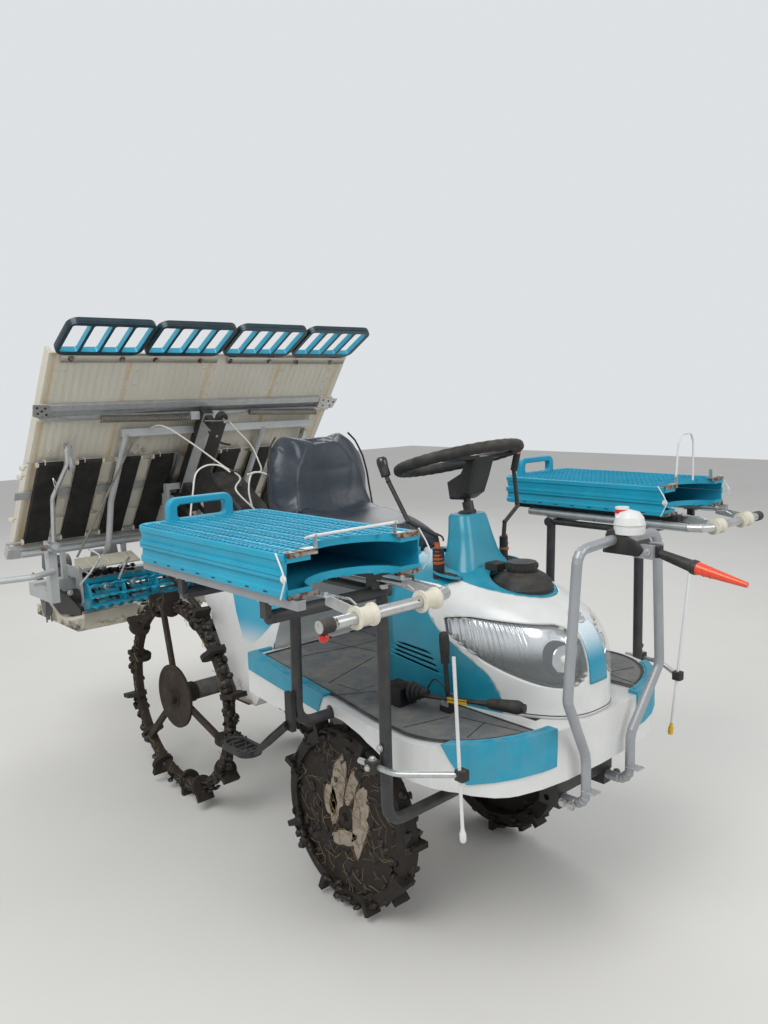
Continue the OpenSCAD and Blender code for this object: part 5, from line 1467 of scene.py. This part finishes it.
    def controls(self) -> None:
        """Makes boots, grips and the blank yellow sticker of the floor controls."""
        grip = [(9, -8), (13, 0), (14, 20), (15.5, 50), (17, 70), (13, 80), (0.1, 83)]
        make("bar_lever_grip", turned(grip, (1392, -235, 679), (0.954, 0.29, 0.03), 24), RUBBER_BLACK, "chassis",
             angle=60)
        make("bar_lever_flat", tube([(1236, -283, 672), (1395, -234, 679)], 10.5, 8, flat=0.45), RUBBER_BLACK,
             "chassis", bevel=1)
        sticker = block((1288, -273.4, 667), (1340, -272.2, 680))
        turn = Matrix.Translation((1314, -268, 0)) @ Matrix.Rotation(math.radians(17), 4, "Z") \
            @ Matrix.Translation((-1314, 272.6, 0))
        make("bar_lever_blank_sticker", moved(sticker, turn), TAPE_YELLOW, "chassis")
        boot = turned([(25, 0), (26, 4), (17, 8), (22, 14), (15, 19), (19, 25), (12, 30), (15, 36), (9, 42), (8, 52)],
                      (1180, -292, 672), (0.9, 0.2, 0.12), 28)
        make("bar_lever_boot", boot, RUBBER_BLACK, "chassis", angle=70)
        tread = [block((1108 + k * 8, -324, 683), (1111 + k * 8, -269, 685.4)) for k in range(8)]
        tread += [block((1122 + k * 10, 226, 663), (1126 + k * 10, 284, 665.6)) for k in range(8)]
        make("pedal_treads", merge(*tread), RUBBER_BLACK, "chassis", bevel=0.7)
        knob = turned([(6, -44), (9, -40), (12, -20), (13, 10), (12, 26), (8, 33), (0.1, 35)], (1260, -252, 800),
                      (-0.06, 0, 1), 24)
        make("short_lever_grip", knob, RUBBER_BLACK, "chassis", angle=60)
        clevis = merge(block((1262, -270, 651), (1284, -266, 676)), block((1262, -242, 651), (1284, -238, 676)),
                       bolt((1273, -238, 666), (0, 1, 0), 7), bolt((1273, -270, 666), (0, -1, 0), 7))
        make("short_lever_clevis", clevis, ZINC, "chassis", bevel=0.6)
        wire = curve([(1196, -262, 660), (1214, -246, 700), (1240, -240, 690), (1262, -246, 668)], 24)
        make("short_lever_cable", tube(wire, 2.2, 8), RUBBER_BLACK, "chassis")


@dataclass
class Step:
    """Open oval tread of the boarding steps."""
    x: float = 803
    y: float = 560
    z: float = 497

    def build(self) -> None:
        """Makes the treads of both sides, which stand for the CAD's plain ones."""
        outer, inner = rounded(134, 70, 34, self.x, self.y, 8), rounded(112, 48, 23.5, self.x, self.y, 8)
        parts = [frame_of(outer, inner, self.z - 9, self.z + 7)]
        rim = [(x, y, self.z + 8) for x, y in outer]
        for k in range(0, len(rim), 2):
            parts.append(turned([(3.2, -2), (3.0, 1.4), (1.4, 2.4)], rim[k], (0, 0, 1), 8))
        for k in (-36, -12, 12, 36):
            parts.append(block((self.x + k - 3.5, self.y - 26, self.z - 6), (self.x + k + 3.5, self.y + 26,
                                                                             self.z + 4)))
        for a, b in (((-48, -2), (-12, 20)), ((-12, -20), (36, 14)), ((12, 18), (48, -6))):
            parts.append(tube([(self.x + a[0], self.y + a[1], self.z), (self.x + b[0], self.y + b[1], self.z)],
                              3.5, 6))
        arm = tube(bent([(994, 547, 602), (930, 560, 545), (866, 560, 498)], 30), 11, 12, flat=0.7)
        ribs = tube(bent([(990, 547, 612), (926, 560, 556), (872, 560, 508)], 30), 4, 8)
        foot = block((985, 530.3, 590), (1013, 544, 690))
        make("boarding_step_treads", both(merge(*parts, arm, ribs, foot)), BLACK_NYLON, "chassis", bevel=0.8,
             replaces=("boarding_steps",))


@dataclass
class Wheel:
    """Mud, straw, bolts and hub disc of one wheel."""
    side: Side
    rear: bool

    def clod(self, rng: random.Random, centre: Vector, size: float, flat: Vector) -> Mesh:
        """An uneven lump of dried mud.

        Args:
            rng: the seeded source of chance.
            centre: its middle.
            size: its mean radius.
            flat: the direction in which it is squashed.

        Returns:
            The lump.
        """
        place = basis(tuple(centre), tuple(flat))
        rings = []
        for i in range(5):
            t = math.pi * (0.08 + 0.84 * i / 4)
            rings.append([(size * math.sin(t) * math.cos(a) * rng.uniform(0.65, 1.25),
                           size * math.sin(t) * math.sin(a) * rng.uniform(0.65, 1.25),
                           -size * 0.45 * math.cos(t) * rng.uniform(0.7, 1.2))
                          for a in (math.tau * k / 8 for k in range(8))])
        return moved(loft(rings), place)

    def straw(self, rng: random.Random, centre: Vector, r0: float, r1: float, out: float, count: int) -> Mesh:
        """Straws stuck on the wheel's outer face.

        Args:
            rng: the seeded source of chance.
            centre: middle of that face.
            r0: smallest distance from the middle.
            r1: largest distance.
            out: sign of Y outwards.
            count: how many.

        Returns:
            The straws.
        """
        parts = []
        for _ in range(count):
            a, r = rng.uniform(0, math.tau), rng.uniform(r0, r1)
            mid = centre + Vector((r * math.cos(a), 0, r * math.sin(a)))
            way = Vector((rng.uniform(-1, 1), 0, rng.uniform(-1, 1))).normalized() * rng.uniform(9, 30)
            sag = Vector((rng.uniform(-5, 5), out * rng.uniform(1.5, 5), rng.uniform(-5, 5)))
            parts.append(tube(curve([mid - way, mid + sag, mid + way], 5), rng.uniform(0.5, 0.9), 4))
        return merge(*parts)

    def build(self) -> None:
        """Makes the wheel's dirt and details."""
        s = self.side.value
        kind = "rear" if self.rear else "front"
        body = f"{kind}_wheel_{self.side.word}"
        rng = random.Random(11 + s + 4 * self.rear)
        x, y, r = (0, 300, 375) if self.rear else (945, 312, 265)
        hub = Vector((x, s * y, r))
        lumps = []
        for _ in range(420 if self.rear else 320):
            a = rng.uniform(0, math.tau)
            if self.rear:
                d, off, size = rng.uniform(314, 350), rng.uniform(-17, 17), rng.uniform(8, 17)
            else:
                d, off, size = rng.uniform(206, 248), rng.uniform(-30, 30), rng.uniform(8, 17)
            place = hub + Vector((d * math.cos(a), off, d * math.sin(a)))
            lumps.append(self.clod(rng, place, size, Vector((math.cos(a), rng.uniform(-0.6, 0.6), math.sin(a)))))
        if not self.rear:
            for _ in range(70):
                a, d = rng.uniform(0, math.tau), 205 * math.sqrt(rng.uniform(0.03, 1))
                dish = 14 if d > 118 else 2 + 12 * max(d - 40, 0) / 78
                place = hub + Vector((d * math.cos(a), s * dish, d * math.sin(a)))
                lumps.append(self.clod(rng, place, rng.uniform(7, 20), Vector((0.1, s * 2.5, 0.1))))
        make(f"mud_{kind}_{self.side.word}", merge(*lumps), WET_MUD, body, angle=80)
        if not self.rear:
            slabs = []
            for cx, cz, w, h, lean in ((-34, 66, 34, 104, 0.5), (62, 12, 30, 112, 0.32), (-66, 30, 34, 40, 0.9),
                                       (-8, -70, 66, 20, -0.3), (30, 96, 22, 60, 0.9)):
                ring = []
                for k in range(22):
                    a = math.tau * k / 22
                    u, v = w * math.cos(a) * rng.uniform(0.75, 1.1), h * math.sin(a) * rng.uniform(0.85, 1.1)
                    ring.append((cx + u * math.cos(lean) + v * math.sin(lean) * 0.6, cz - u * math.sin(lean) + v))
                base = 15
                slabs.append(loft([[tuple(hub + Vector((-s * px * 1.0, s * (base - 10), pz))) for px, pz in ring],
                                   [tuple(hub + Vector((-s * px, s * (base + 1), pz))) for px, pz in ring],
                                   [tuple(hub + Vector((-s * px * 0.9, s * (base + 3), pz * 0.9 + 3)))
                                    for px, pz in ring]]))
            make(f"dry_silt_{self.side.word}", merge(*slabs), DRY_SILT, body, angle=70)
            make(f"straw_front_{self.side.word}",
                 self.straw(rng, hub + Vector((0, s * 19, 0)), 40, 225, s, 170), STRAW, body)
            nuts = [bolt(tuple(hub + Vector((24 * math.cos(t), s * 12, 24 * math.sin(t)))), (0, s, 0), 6)
                    for t in (math.tau * k / 4 for k in range(4))]
            make(f"hub_nuts_front_{self.side.word}", merge(*nuts, bolt(tuple(hub + Vector((0, s * 20, 0))), (0, s, 0),
                                                                       11)), MUDDY_STEEL, body)
        else:
            dish = turned([(112, 23), (113, 24.5), (108, 26.4), (100, 26), (96, 23.2)], tuple(hub), (0, s, 0), 72)
            cap = turned([(26, 23), (26, 46), (22, 49), (12, 50), (0.1, 50)], tuple(hub), (0, s, 0), 28)
            make(f"hub_disc_rear_{self.side.word}", merge(dish, cap), MUDDY_STEEL, body)
            make(f"straw_rear_{self.side.word}",
                 self.straw(rng, hub + Vector((0, s * 15, 0)), 306, 330, s, 60), STRAW, body)


@dataclass
class Planting:
    """Raised planting unit: seedling table, belts, windows, springs, cables, floats and the levelling rotor."""
    top: Point = (-123, 0, 1575)
    slope: float = 54.9
    half: float = 625
    belts: tuple = (-553, -409, -256, -110, 44, 190, 344, 490)
    belt_s: tuple = (448, 812)
    belt_half: float = 44
    window_slope: float = 30
    window: tuple = (9, 190)
    cage: tuple = (-480, 680, 64, 420)
    marker_z: float = 900

    def slab(self) -> Matrix:
        """The table's own frame: X down its slope, Y left, Z off its underside."""
        s, c = math.sin(math.radians(self.slope)), math.cos(math.radians(self.slope))
        return Matrix(((-c, 0, s, self.top[0]), (0, 1, 0, 0), (-s, 0, -c, self.top[2]), (0, 0, 0, 1)))

    def put(self, name: str, mesh: Mesh, finish: Finish, body: str = "seedling_table", **more) -> None:
        """Makes a piece given in the table's own frame.

        Args:
            name: its name.
            mesh: its mesh in the table's frame.
            finish: its finish.
            body: the body that it rides on.
            more: what else make takes.
        """
        make(name, moved(mesh, self.slab()), finish, body, **more)

    def table(self) -> None:
        """Makes the strips, bolts, rails, plates, springs and knobs on the table's underside."""
        strips = []
        for s0, s1, y0, y1 in ((4, 30, -588, 4), (8, 34, 48, 612)):
            strips += [block((s0, y0, 6.4), (s1, y1, 9)), block((s1 - 2, y0, 0.2), (s1, y1, 9))]
        self.put("table_edge_strips", merge(*strips), IVORY_ABS, bevel=0.8)
        heads = [bolt((s, y, 9), (0, 0, 1), 9) for s, y in
                 ((16, -554), (18, -375), (20, -248), (22, -70), (23, 59), (25, 237), (27, 366), (28, 542))]
        self.put("table_edge_bolts", merge(*heads), RUSTY_ZINC)
        rail = [block((198, -606, 0.3), (266, 556, 5)), block((197, -606, 5), (216, 556, 16)),
                block((216, -606, 12.5), (222, 556, 16)), block((248, -606, 5), (266, 556, 15))]
        self.put("table_slide_rail", merge(*rail), SILVER_SHEET, bevel=0.8)
        plates, hole_shade = [], []
        for outline, marks in ((((190, -656), (192, -600), (228, -580), (254, -612), (236, -650)),
                                ((203, -640), (206, -612), (226, -634), (232, -604), (217, -622))),
                               (((196, 556), (206, 652), (252, 642), (258, 604), (244, 556)),
                                ((210, 576), (216, 606), (222, 634), (240, 622), (238, 584)))):
            plates.append(plate(list(outline), 16.2, 18.6))
            hole_shade += [turned([(4.6, 0), (4.6, 0.4)], (s, y, 18.6), (0, 0, 1), 14) for s, y in marks]
        self.put("table_end_plates", merge(*plates), ZINC, bevel=0.5)
        # Painted shade: black discs on the plates stand for the shade seen through their holes.
        self.put("table_end_plate_painted_hole_shade", merge(*hole_shade), RUBBER_BLACK)
        turns, wire = 58, []
        for k in range(turns * 12 + 1):
            a, u = math.tau * k / 12, k / (turns * 12)
            wire.append((250 + 12 * u + 12 * math.cos(a), -413 + 443 * u, 30 + 12 * math.sin(a)))
        self.put("table_coil_spring", tube(wire, 2.1, 5), DULL_STEEL, angle=80)
        hooks = [tube(curve([(236, -586, 20), (246, -520, 28), (250, -413, 30)], 10), 1.8, 6),
                 tube(curve([(262, 30, 30), (250, 90, 34), (250, 200, 28)], 10), 1.4, 6)]
        self.put("table_spring_wires", merge(*hooks), DULL_STEEL)
        pipe = tube([(251, 212, 26), (265, 549, 26)], 10.5, 16)
        rings = [tube([(251 + 14 * u + 10.8 * math.cos(t), 212 + 337 * u, 26 + 10.8 * math.sin(t))
                       for t in (math.tau * k / 16 for k in range(16))], 0.9, 5, wrap=True)
                 for u in (i / 30 for i in range(31))]
        self.put("table_short_spring", merge(pipe, *rings), DULL_STEEL)
        bar = [block((580, -655, 0.3), (613, 640, 5.5)), block((577, -655, 0.3), (580, 640, 8))]
        self.put("table_cross_bar", merge(*bar), SILVER_SHEET, bevel=0.6)
        low = [block((842, -640, -1.0), (874, 640, 25)), block((874, -640, 19), (886, 640, 25)),
               block((832, -655, 0), (878, -640, 30))]
        self.put("table_lower_channel", merge(*low), PALE_PAINT, bevel=1.0)
        knobs = []
        for s, y in ((458, -636), (498, -638), (697, -640), (520, 636)):
            knobs += [turned([(5, 0), (5, 14), (11, 16), (11, 22), (6, 24)], (s, y, 6), (0, -1 if y < 0 else 1,
                                                                                         0.5), 16)]
        self.put("table_edge_knobs", merge(*knobs), WHITE_PP)
        pads = [block((62 + i * 46, y - 13, 0.2), (66 + i * 46, y + 13, 2.2))
                for y in (-586, -335, -25, 285, 575) for i in range(3)]
        pads += [turned([(5, 0), (4, 3)], (s, y, 0), (0, 0, 1), 12)
                 for y in (-560, -300, 10, 320, 560) for s in (70, 130, 175, 350, 400, 470)]
        self.put("table_clips", merge(*pads), IVORY_ABS, bevel=0.6)
        ribs = [block((16, y - 1.2, 0.1), (196, y + 1.2, 0.9)) for y in range(-610, 620, 27)]
        ribs += [block((268, y - 1.2, 0.1), (440, y + 1.2, 0.9)) for y in range(-610, 620, 27)]
        self.put("table_ribs", merge(*ribs), IVORY_ABS)

    def belt_drive(self) -> None:
        """Makes the eight belts over their rollers, with the rod through them and the fields between."""
        s0, s1 = self.belt_s
        belts, rollers, fields = [], [], []
        for y in self.belts:
            loop = [(s0 + 8 * math.sin(a), 15.5 - 8 * math.cos(a)) for a in steps(-math.pi, 0, 8)]
            loop += [(s1 + 8 * math.sin(a), 15.5 - 8 * math.cos(a)) for a in steps(0, math.pi, 8)]
            belts.append(loft([[(s, y - self.belt_half, n) for s, n in loop],
                               [(s, y + self.belt_half, n) for s, n in loop]]))
            for k in range(int((s1 - s0) / 9)):
                belts.append(block((s0 + 4 + k * 9, y - self.belt_half + 1, 23.3),
                                   (s0 + 7 + k * 9, y + self.belt_half - 1, 24.6)))
            for e in (-1, 1):
                rollers.append(turned([(5, 0), (11, 0.5), (11, 7), (5, 8)], (s0, y + e * (self.belt_half + 1), 15),
                                      (0, e, 0), 18))
                rollers.append(turned([(5, 0), (11, 0.5), (11, 6), (5, 7)], (s1, y + e * (self.belt_half + 1), 15),
                                      (0, e, 0), 18))
            rollers.append(tube(curve([(s0 - 16, y - 30, 10), (s0 - 24, y - 28, 26), (s0 - 8, y - 26, 30)], 8),
                                1.8, 6))
        for a, b in zip(self.belts, self.belts[1:]):
            y = (a + b) / 2
            fields += [block((468, y - 22, 0.2), (560, y + 22, 7)), block((626, y - 16, 0.2), (700, y + 18, 4.5)),
                       block((716, y - 24, 0.2), (800, y + 24, 9))]
        self.put("belt_loops", merge(*belts), BELT_RUBBER, bevel=0, angle=40, replaces=("table_belts",))
        self.put("belt_rollers", merge(*rollers), WHITE_PP)
        self.put("belt_covers_between", merge(*fields), IVORY_ABS, bevel=2.0)
        rods = merge(tube([(s0 - 16, -642, 20), (s0 - 12, 642, 20)], 2.2, 8), tube([(s1, -660, 15), (s1, 640,
                                                                                                     15)], 4.6, 10))
        self.put("belt_rods", rods, ZINC)
        arms = []
        for y in (-62, -4):
            tip = [(436 + 14 * math.sin(t), y - 14 * math.cos(t)) for t in steps(math.pi, math.tau, 8)]
            arms.append(plate([(664, y - 8), (664, y + 12)] + tip[::-1], 26, 36))
        self.put("belt_drive_arms", merge(*arms), CAST_GREY, bevel=1.5)

    def windows(self) -> None:
        """Makes the inner faces of the sixteen window panes, painted light teal for the daylight glowing through
        them.
        """
        w = 2 * self.half / 4 - 10
        pane = (w - 52) / 4
        long = self.window[1] - self.window[0] - 32
        place = Matrix.Translation(self.top) @ Matrix.Rotation(math.radians(-self.window_slope), 4, "Y")
        parts = []
        for i in range(4):
            for j in range(4):
                x, y = self.window[0] + 16 + long / 2, (i - 2) * 312.5 + 5 + 14 + j * (pane + 8) + pane / 2
                parts.append(frame_of(rounded(long - 0.4, pane - 0.4, 9, x, y), rounded(long - 3.4, pane - 3.4,
                                                                                        7.5, x, y),
                                      -12.5, 6, place))
        # The liners' light teal is painted daylight glowing through the thin walls.
        make("window_pane_liners", merge(*parts), WINDOW_LINER, "seedling_table", angle=40)
        rims = []
        for i in range(4):
            x, y = sum(self.window) / 2, (i - 2) * 312.5 + 5 + w / 2
            rims.append(frame_of(rounded(self.window[1] - self.window[0] + 2, w + 2, 35, x, y, 8),
                                 rounded(self.window[1] - self.window[0] - 0.4, w - 0.4, 34, x, y, 8), -8, 4, place))
        make("window_outer_rims", merge(*rims), DARK_TEAL_ABS, "seedling_table", angle=40)

    def frame_bits(self) -> None:
        """Makes the black post, its pin, the thin strut, the cables and the blocks of the line markers."""
        tip = [(164 + 21 + 21 * math.cos(t), 21 * math.sin(t)) for t in steps(math.pi / 2, math.pi * 1.5, 12)]
        post = plate([(186 + 450, -24), (186 + 450, 24)] + tip, 128, 152)
        stand = merge(block((224, -23, 24), (613, 23, 60)), block((232, -14, 59), (262, 14, 130)),
                      block((560, -18, 59), (610, 18, 130)))
        self.put("centre_post", merge(post, stand), BLACK_STEEL, "planting_unit", bevel=2.0)
        pin = merge(turned([(4, 0), (4, 16), (7, 17), (7, 20)], (184, 0, 150), (0, 0, 1), 14),
                    tube(curve([(196, -70, 142), (186, -26, 160), (182, 0, 164), (188, 30, 160), (196, 66,
                                                                                                  140)], 20), 1.6, 6),
                    turned([(5, 0), (5, 2)], (262, -4, 152), (0, 0, 1), 12))
        self.put("centre_post_pin", pin, ZINC, "planting_unit")
        strut = merge(tube([(-290, -277, 1262), (-370, -442, 919), (-384, -478, 850)], 4.4, 8),
                      plate(rounded(74, 26, 3), 0, 4, basis((-280, -258, 1250), (0.9, -0.25, 0.3), (0.2, 0.7, -0.7))),
                      bolt((-278, -240, 1232), (1, 0, 0), 8))
        make("thin_strut", strut, DULL_STEEL, "planting_unit", angle=40)
        runs = (((-286, -206, 1310), (-215, -188, 1318), (-190, -95, 1254), (-120, 0, 1160), (20, -20, 1128),
                 (90, -84, 1092), (110, -24, 1018), (118, -10, 985)),
                ((-160, 62, 1322), (-150, 80, 1296), (-140, 138, 1232), (-120, 157, 1171), (-20, 100, 1140),
                 (80, -10, 1140), (100, -37, 1086), (105, -30, 1030)),
                ((20, -60, 1150), (0, -88, 1174), (0, -143, 1179), (0, -187, 1155), (10, -209, 1094), (20, -232, 994),
                 (40, -238, 930)),
                ((70, -20, 1140), (100, -5, 1149), (110, 28, 1142), (118, 49, 1124), (122, 60, 1080)))
        for i, points in enumerate(runs):
            make(f"control_cable_{i + 1}", tube(curve(list(points), 60), 3.1, 8), CABLE_WHITE, "chassis")
        black = curve([(-268, 30, 1290), (-235, 36, 1262), (-215, 60, 1240), (-225, 100, 1232)], 30)
        make("wire_loom", tube(black, 4.2, 8), RUBBER_BLACK, "planting_unit")
        thin = ((-176, 1040), (-168, 1118), (-120, 1128), (60, 1018), (120, 940), (110, 880), (-170, 880))
        full = ((-186, 1040), (-176, 1130), (-116, 1140), (66, 1026), (128, 944), (118, 872), (-180, 872))
        cover = loft([[(x, y, z) for x, z in line] for y, line in ((-62, thin), (-54, full), (54, full), (62, thin))])
        make("link_cover", cover, BLACK_NYLON, "chassis", bevel=3.0)
        clips = [turned([(6, -10), (8, -8), (8, 8), (6, 10)], p, d, 14) for p, d in
                 (((-30, -22, 1146), (1, -0.3, -0.4)), ((86, -60, 1106), (0.3, -0.6, -0.6)), ((60, 0, 1142), (1,
                                                                                                              -0.5, 0)))]
        make("cable_ferrules", merge(*clips), RUBBER_BLACK, "chassis")
        for s in (Side.LEFT, Side.RIGHT):
            place = basis((-318, 511, 1205), (34, 16, 95), (0, 1, 0))
            channel = merge(block((-15, -3, -30), (15, 1, 72)), block((-15, -14, -30), (-11, 1, 72)),
                            block((11, -14, -30), (15, 1, 72)), block((-15, -15, -30), (15, -12, 50)))
            make(f"line_marker_block_{s.word}", on(s, moved(channel, place)), ZINC, f"line_marker_{s.word}",
                 bevel=0.8)
            hook = tube(curve([(-352, 541, 1120), (-340, 560, 1150), (-336, 556, 1110), (-357, 547, 1094)], 16),
                        1.8, 6)
            make(f"line_marker_hook_{s.word}", on(s, hook), ZINC, f"line_marker_{s.word}")
            spring = [( -385 + 9 * math.cos(t), 584 + t * 0.55,
                       self.marker_z + 9 * math.sin(t)) for t in steps(0, 40, 160)]
            make(f"line_marker_spring_{s.word}", on(s, tube(spring, 1.5, 5)), DULL_STEEL, "planting_unit")

    def ground_gear(self) -> None:
        """Makes the leveller's hubs, its mud, the cover's ribs and the mud on the floats."""
        x, z, r, half = self.cage
        rng = random.Random(5)
        hubs = both(merge(turned([(26, 24), (34, 26), (35, 56), (30, 62), (14, 64), (13, 70), (0.1, 71)], (x,
                                                                                                           half, z),
                                 (0, 1, 0), 28)))
        make("leveller_hubs", hubs, BLACK_NYLON, "levelling_rotor", bevel=1.0)
        make("leveller_shaft_ends", both(turned([(12, 70), (12, 74), (0.1, 74.5)], (x, half, z), (0, 1, 0), 20)),
             CAST_GREY, "levelling_rotor")
        lumps = []
        clod = Wheel(Side.LEFT, True).clod
        for _ in range(80):
            a = rng.uniform(0, math.tau)
            y, d = rng.uniform(-half + 8, half - 8), rng.uniform(10, r - 26)
            lumps.append(clod(rng, Vector((x + d * math.cos(a), y, z + d * math.sin(a))), rng.uniform(7, 15),
                              Vector((0, 1, 0.4))))
        make("leveller_mud", merge(*lumps), WET_MUD, "levelling_rotor", angle=80)
        lumps = []
        for mid, wide in ((-300, 104), (0, 112), (300, 104)):
            for _ in range(110):
                lumps.append(clod(rng, Vector((rng.uniform(-995, -610), mid + rng.uniform(-wide + 14,
                                                                                          wide - 14), 562)),
                                  rng.uniform(10, 24), Vector((0, 0, 1))))
        for _ in range(130):
            y = rng.uniform(200, half - 6) * rng.choice((-1, 1))
            lumps.append(clod(rng, Vector((x + rng.uniform(-46, 6), y, z + r + rng.uniform(4, 22))),
                              rng.uniform(7, 15),
                              Vector((0, 0, 1))))
        make("planting_unit_mud", merge(*lumps), WET_MUD, "planting_unit", angle=80)
        board = plate([(-786, 742), (-531, 616), (-330, 643), (-330, 668), (-430, 702), (-600, 726)], 0, 6,
                      Matrix.Translation((0, 502, 0)) @ Matrix.Rotation(math.radians(90), 4, "X"))
        make("side_boards", both(board), WET_MUD, "planting_unit", bevel=2)
        rim = curve([(-790, 499, 738), (-660, 499, 670), (-531, 499, 613), (-430, 499, 614), (-326, 499, 640)], 30)
        make("side_board_edges", both(tube(rim, 7, 10)), WHITE_PP, "planting_unit")
        ribs = []
        for y in (250, 330, 400):
            ribs.append(loft([[(-500, y - 3, 824.2), (-500, y + 3, 824.2), (-424, y + 3, 798.4), (-424, y - 3,
                                                                                                  798.4)],
                              [(-500, y - 1, 828), (-500, y + 1, 828), (-426, y + 1, 802.4), (-426, y - 1, 802.4)]]))
        make("leveller_cover_ribs", both(merge(*ribs)), WHITE_PP, "planting_unit")
        bits = [bolt((-418, 548 + e, 860), (1, 0, 0), 9) for e in (0, 18)]
        bits += [bolt((-418, y, 716), (1, 0, 0), 10) for y in (90, 250, 360, 500)]
        bits += [tube(bent([(-396, 470, 742), (-380, 430, 790), (-396, 380, 840), (-410, 420, 870)], 16), 4, 8),
                 tube(bent([(-392, 320, 742), (-372, 300, 800), (-396, 262, 822), (-420, 300, 780)], 16), 4, 8)]
        make("planting_frame_bits", both(merge(*bits)), ZINC, "planting_unit")

    def build(self) -> None:
        """Makes the planting unit's pieces."""
        self.table()
        self.belt_drive()
        self.windows()
        self.frame_bits()
        self.ground_gear()
@dataclass
class Studio:
    """Floor, light and the camera at the photograph's angle."""
    place: Point = (2.264, -1.751, 1.424)
    right: Point = (0.67348, 0.73871, -0.02694)
    down: Point = (0.08377, -0.11248, -0.99012)
    forward: Point = (-0.73444, 0.66457, -0.13764)
    focal_px: float = 871.05
    image_h: int = 1024

    def camera(self) -> None:
        """Makes the camera and sets it as the scene's."""
        data = bpy.data.cameras.new("camera")
        data.sensor_fit = "VERTICAL"
        data.sensor_height = 36.0
        data.lens = self.focal_px / self.image_h * 36.0
        made = bpy.data.objects.new("camera", data)
        r, d, f = (Vector(v).normalized() for v in (self.right, self.down, self.forward))
        made.matrix_world = Matrix((r, -d, -f)).transposed().to_4x4()
        made.location = self.place
        bpy.context.collection.objects.link(made)
        bpy.context.scene.camera = made

    def floor(self) -> None:
        """Makes the plain pale floor."""
        mesh = bpy.data.meshes.new("floor")
        mesh.from_pydata([(-14, -14, 0), (14, -14, 0), (14, 14, 0), (-14, 14, 0)], [], [(0, 1, 2, 3)])
        made = bpy.data.objects.new("floor", mesh)
        mat = bpy.data.materials.new("plaster_pale_floated")
        mat.use_nodes = True
        tree = mat.node_tree
        tree.nodes.clear()
        place = add(tree, "TexCoord").outputs["Object"]
        cloud = add(tree, "TexNoise", {"Vector": place, "Scale": 1.5, "Detail": 3.0})
        mix = add(tree, "Mix", {0: cloud.outputs["Fac"], 6: linear("#D3D1CC"), 7: linear("#DAD8D4")},
                  data_type="RGBA")
        shader = add(tree, "BsdfPrincipled", {"Base Color": mix.outputs[2], "Roughness": 0.9})
        add(tree, "OutputMaterial", {"Surface": shader.outputs["BSDF"]})
        mesh.materials.append(mat)
        bpy.context.collection.objects.link(made)

    def lights(self) -> None:
        """Makes the soft light: a bright sky and one wide lamp high on the camera's right."""
        world = bpy.data.worlds.new("studio")
        bpy.context.scene.world = world
        world.use_nodes = True
        tree = world.node_tree
        tree.nodes.clear()
        ray = add(tree, "LightPath")
        seen = add(tree, "Math", {0: ray.outputs["Is Camera Ray"], 1: ray.outputs["Is Transmission Ray"]},
                   operation="MAXIMUM")
        power = add(tree, "Mix", {0: seen.outputs[0], 2: 0.70, 3: 0.9})
        back = add(tree, "Background", {"Color": linear("#E9ECEF"), "Strength": power.outputs[0]})
        add(tree, "OutputWorld", {"Surface": back.outputs["Background"]})
        for name, place, power_w, size in (("key", (1.5, -3.5, 5.0), 190.0, 4.0), ("fill", (5.0, 1.5, 3.5),
                                                                                   70.0, 3.0),
                                           ("rim", (-4.0, 3.0, 4.5), 90.0, 3.5)):
            lamp = bpy.data.lights.new(name, "AREA")
            lamp.shape = "DISK"
            lamp.size = size
            lamp.energy = power_w
            made = bpy.data.objects.new(name, lamp)
            made.location = place
            made.rotation_euler = (Vector((0, 0, 0.7)) - Vector(place)).to_track_quat("-Z", "Y").to_euler()
            bpy.context.collection.objects.link(made)

    def build(self) -> None:
        """Makes the studio."""
        self.camera()
        self.floor()
        self.lights()
        bpy.context.scene.view_settings.view_transform = "Standard"
        LOG.info("studio: camera, floor and %d lamps", 3)


def main() -> None:
    """Builds the studio, dresses the machine and makes every sub-assembly."""
    logging.basicConfig(level=logging.INFO, format="%(name)s: %(message)s")
    Studio().build()
    dress_nodes()
    Bonnet().build()
    Dash().build()
    SteeringWheel().build()
    Seat().build()
    for side in Side:
        Carrier(side).build()
        for rear in (False, True):
            Wheel(side, rear).build()
    Guard().build()
    Deck().build()
    Step().build()
    Planting().build()


if __name__ == "__main__":
    main()
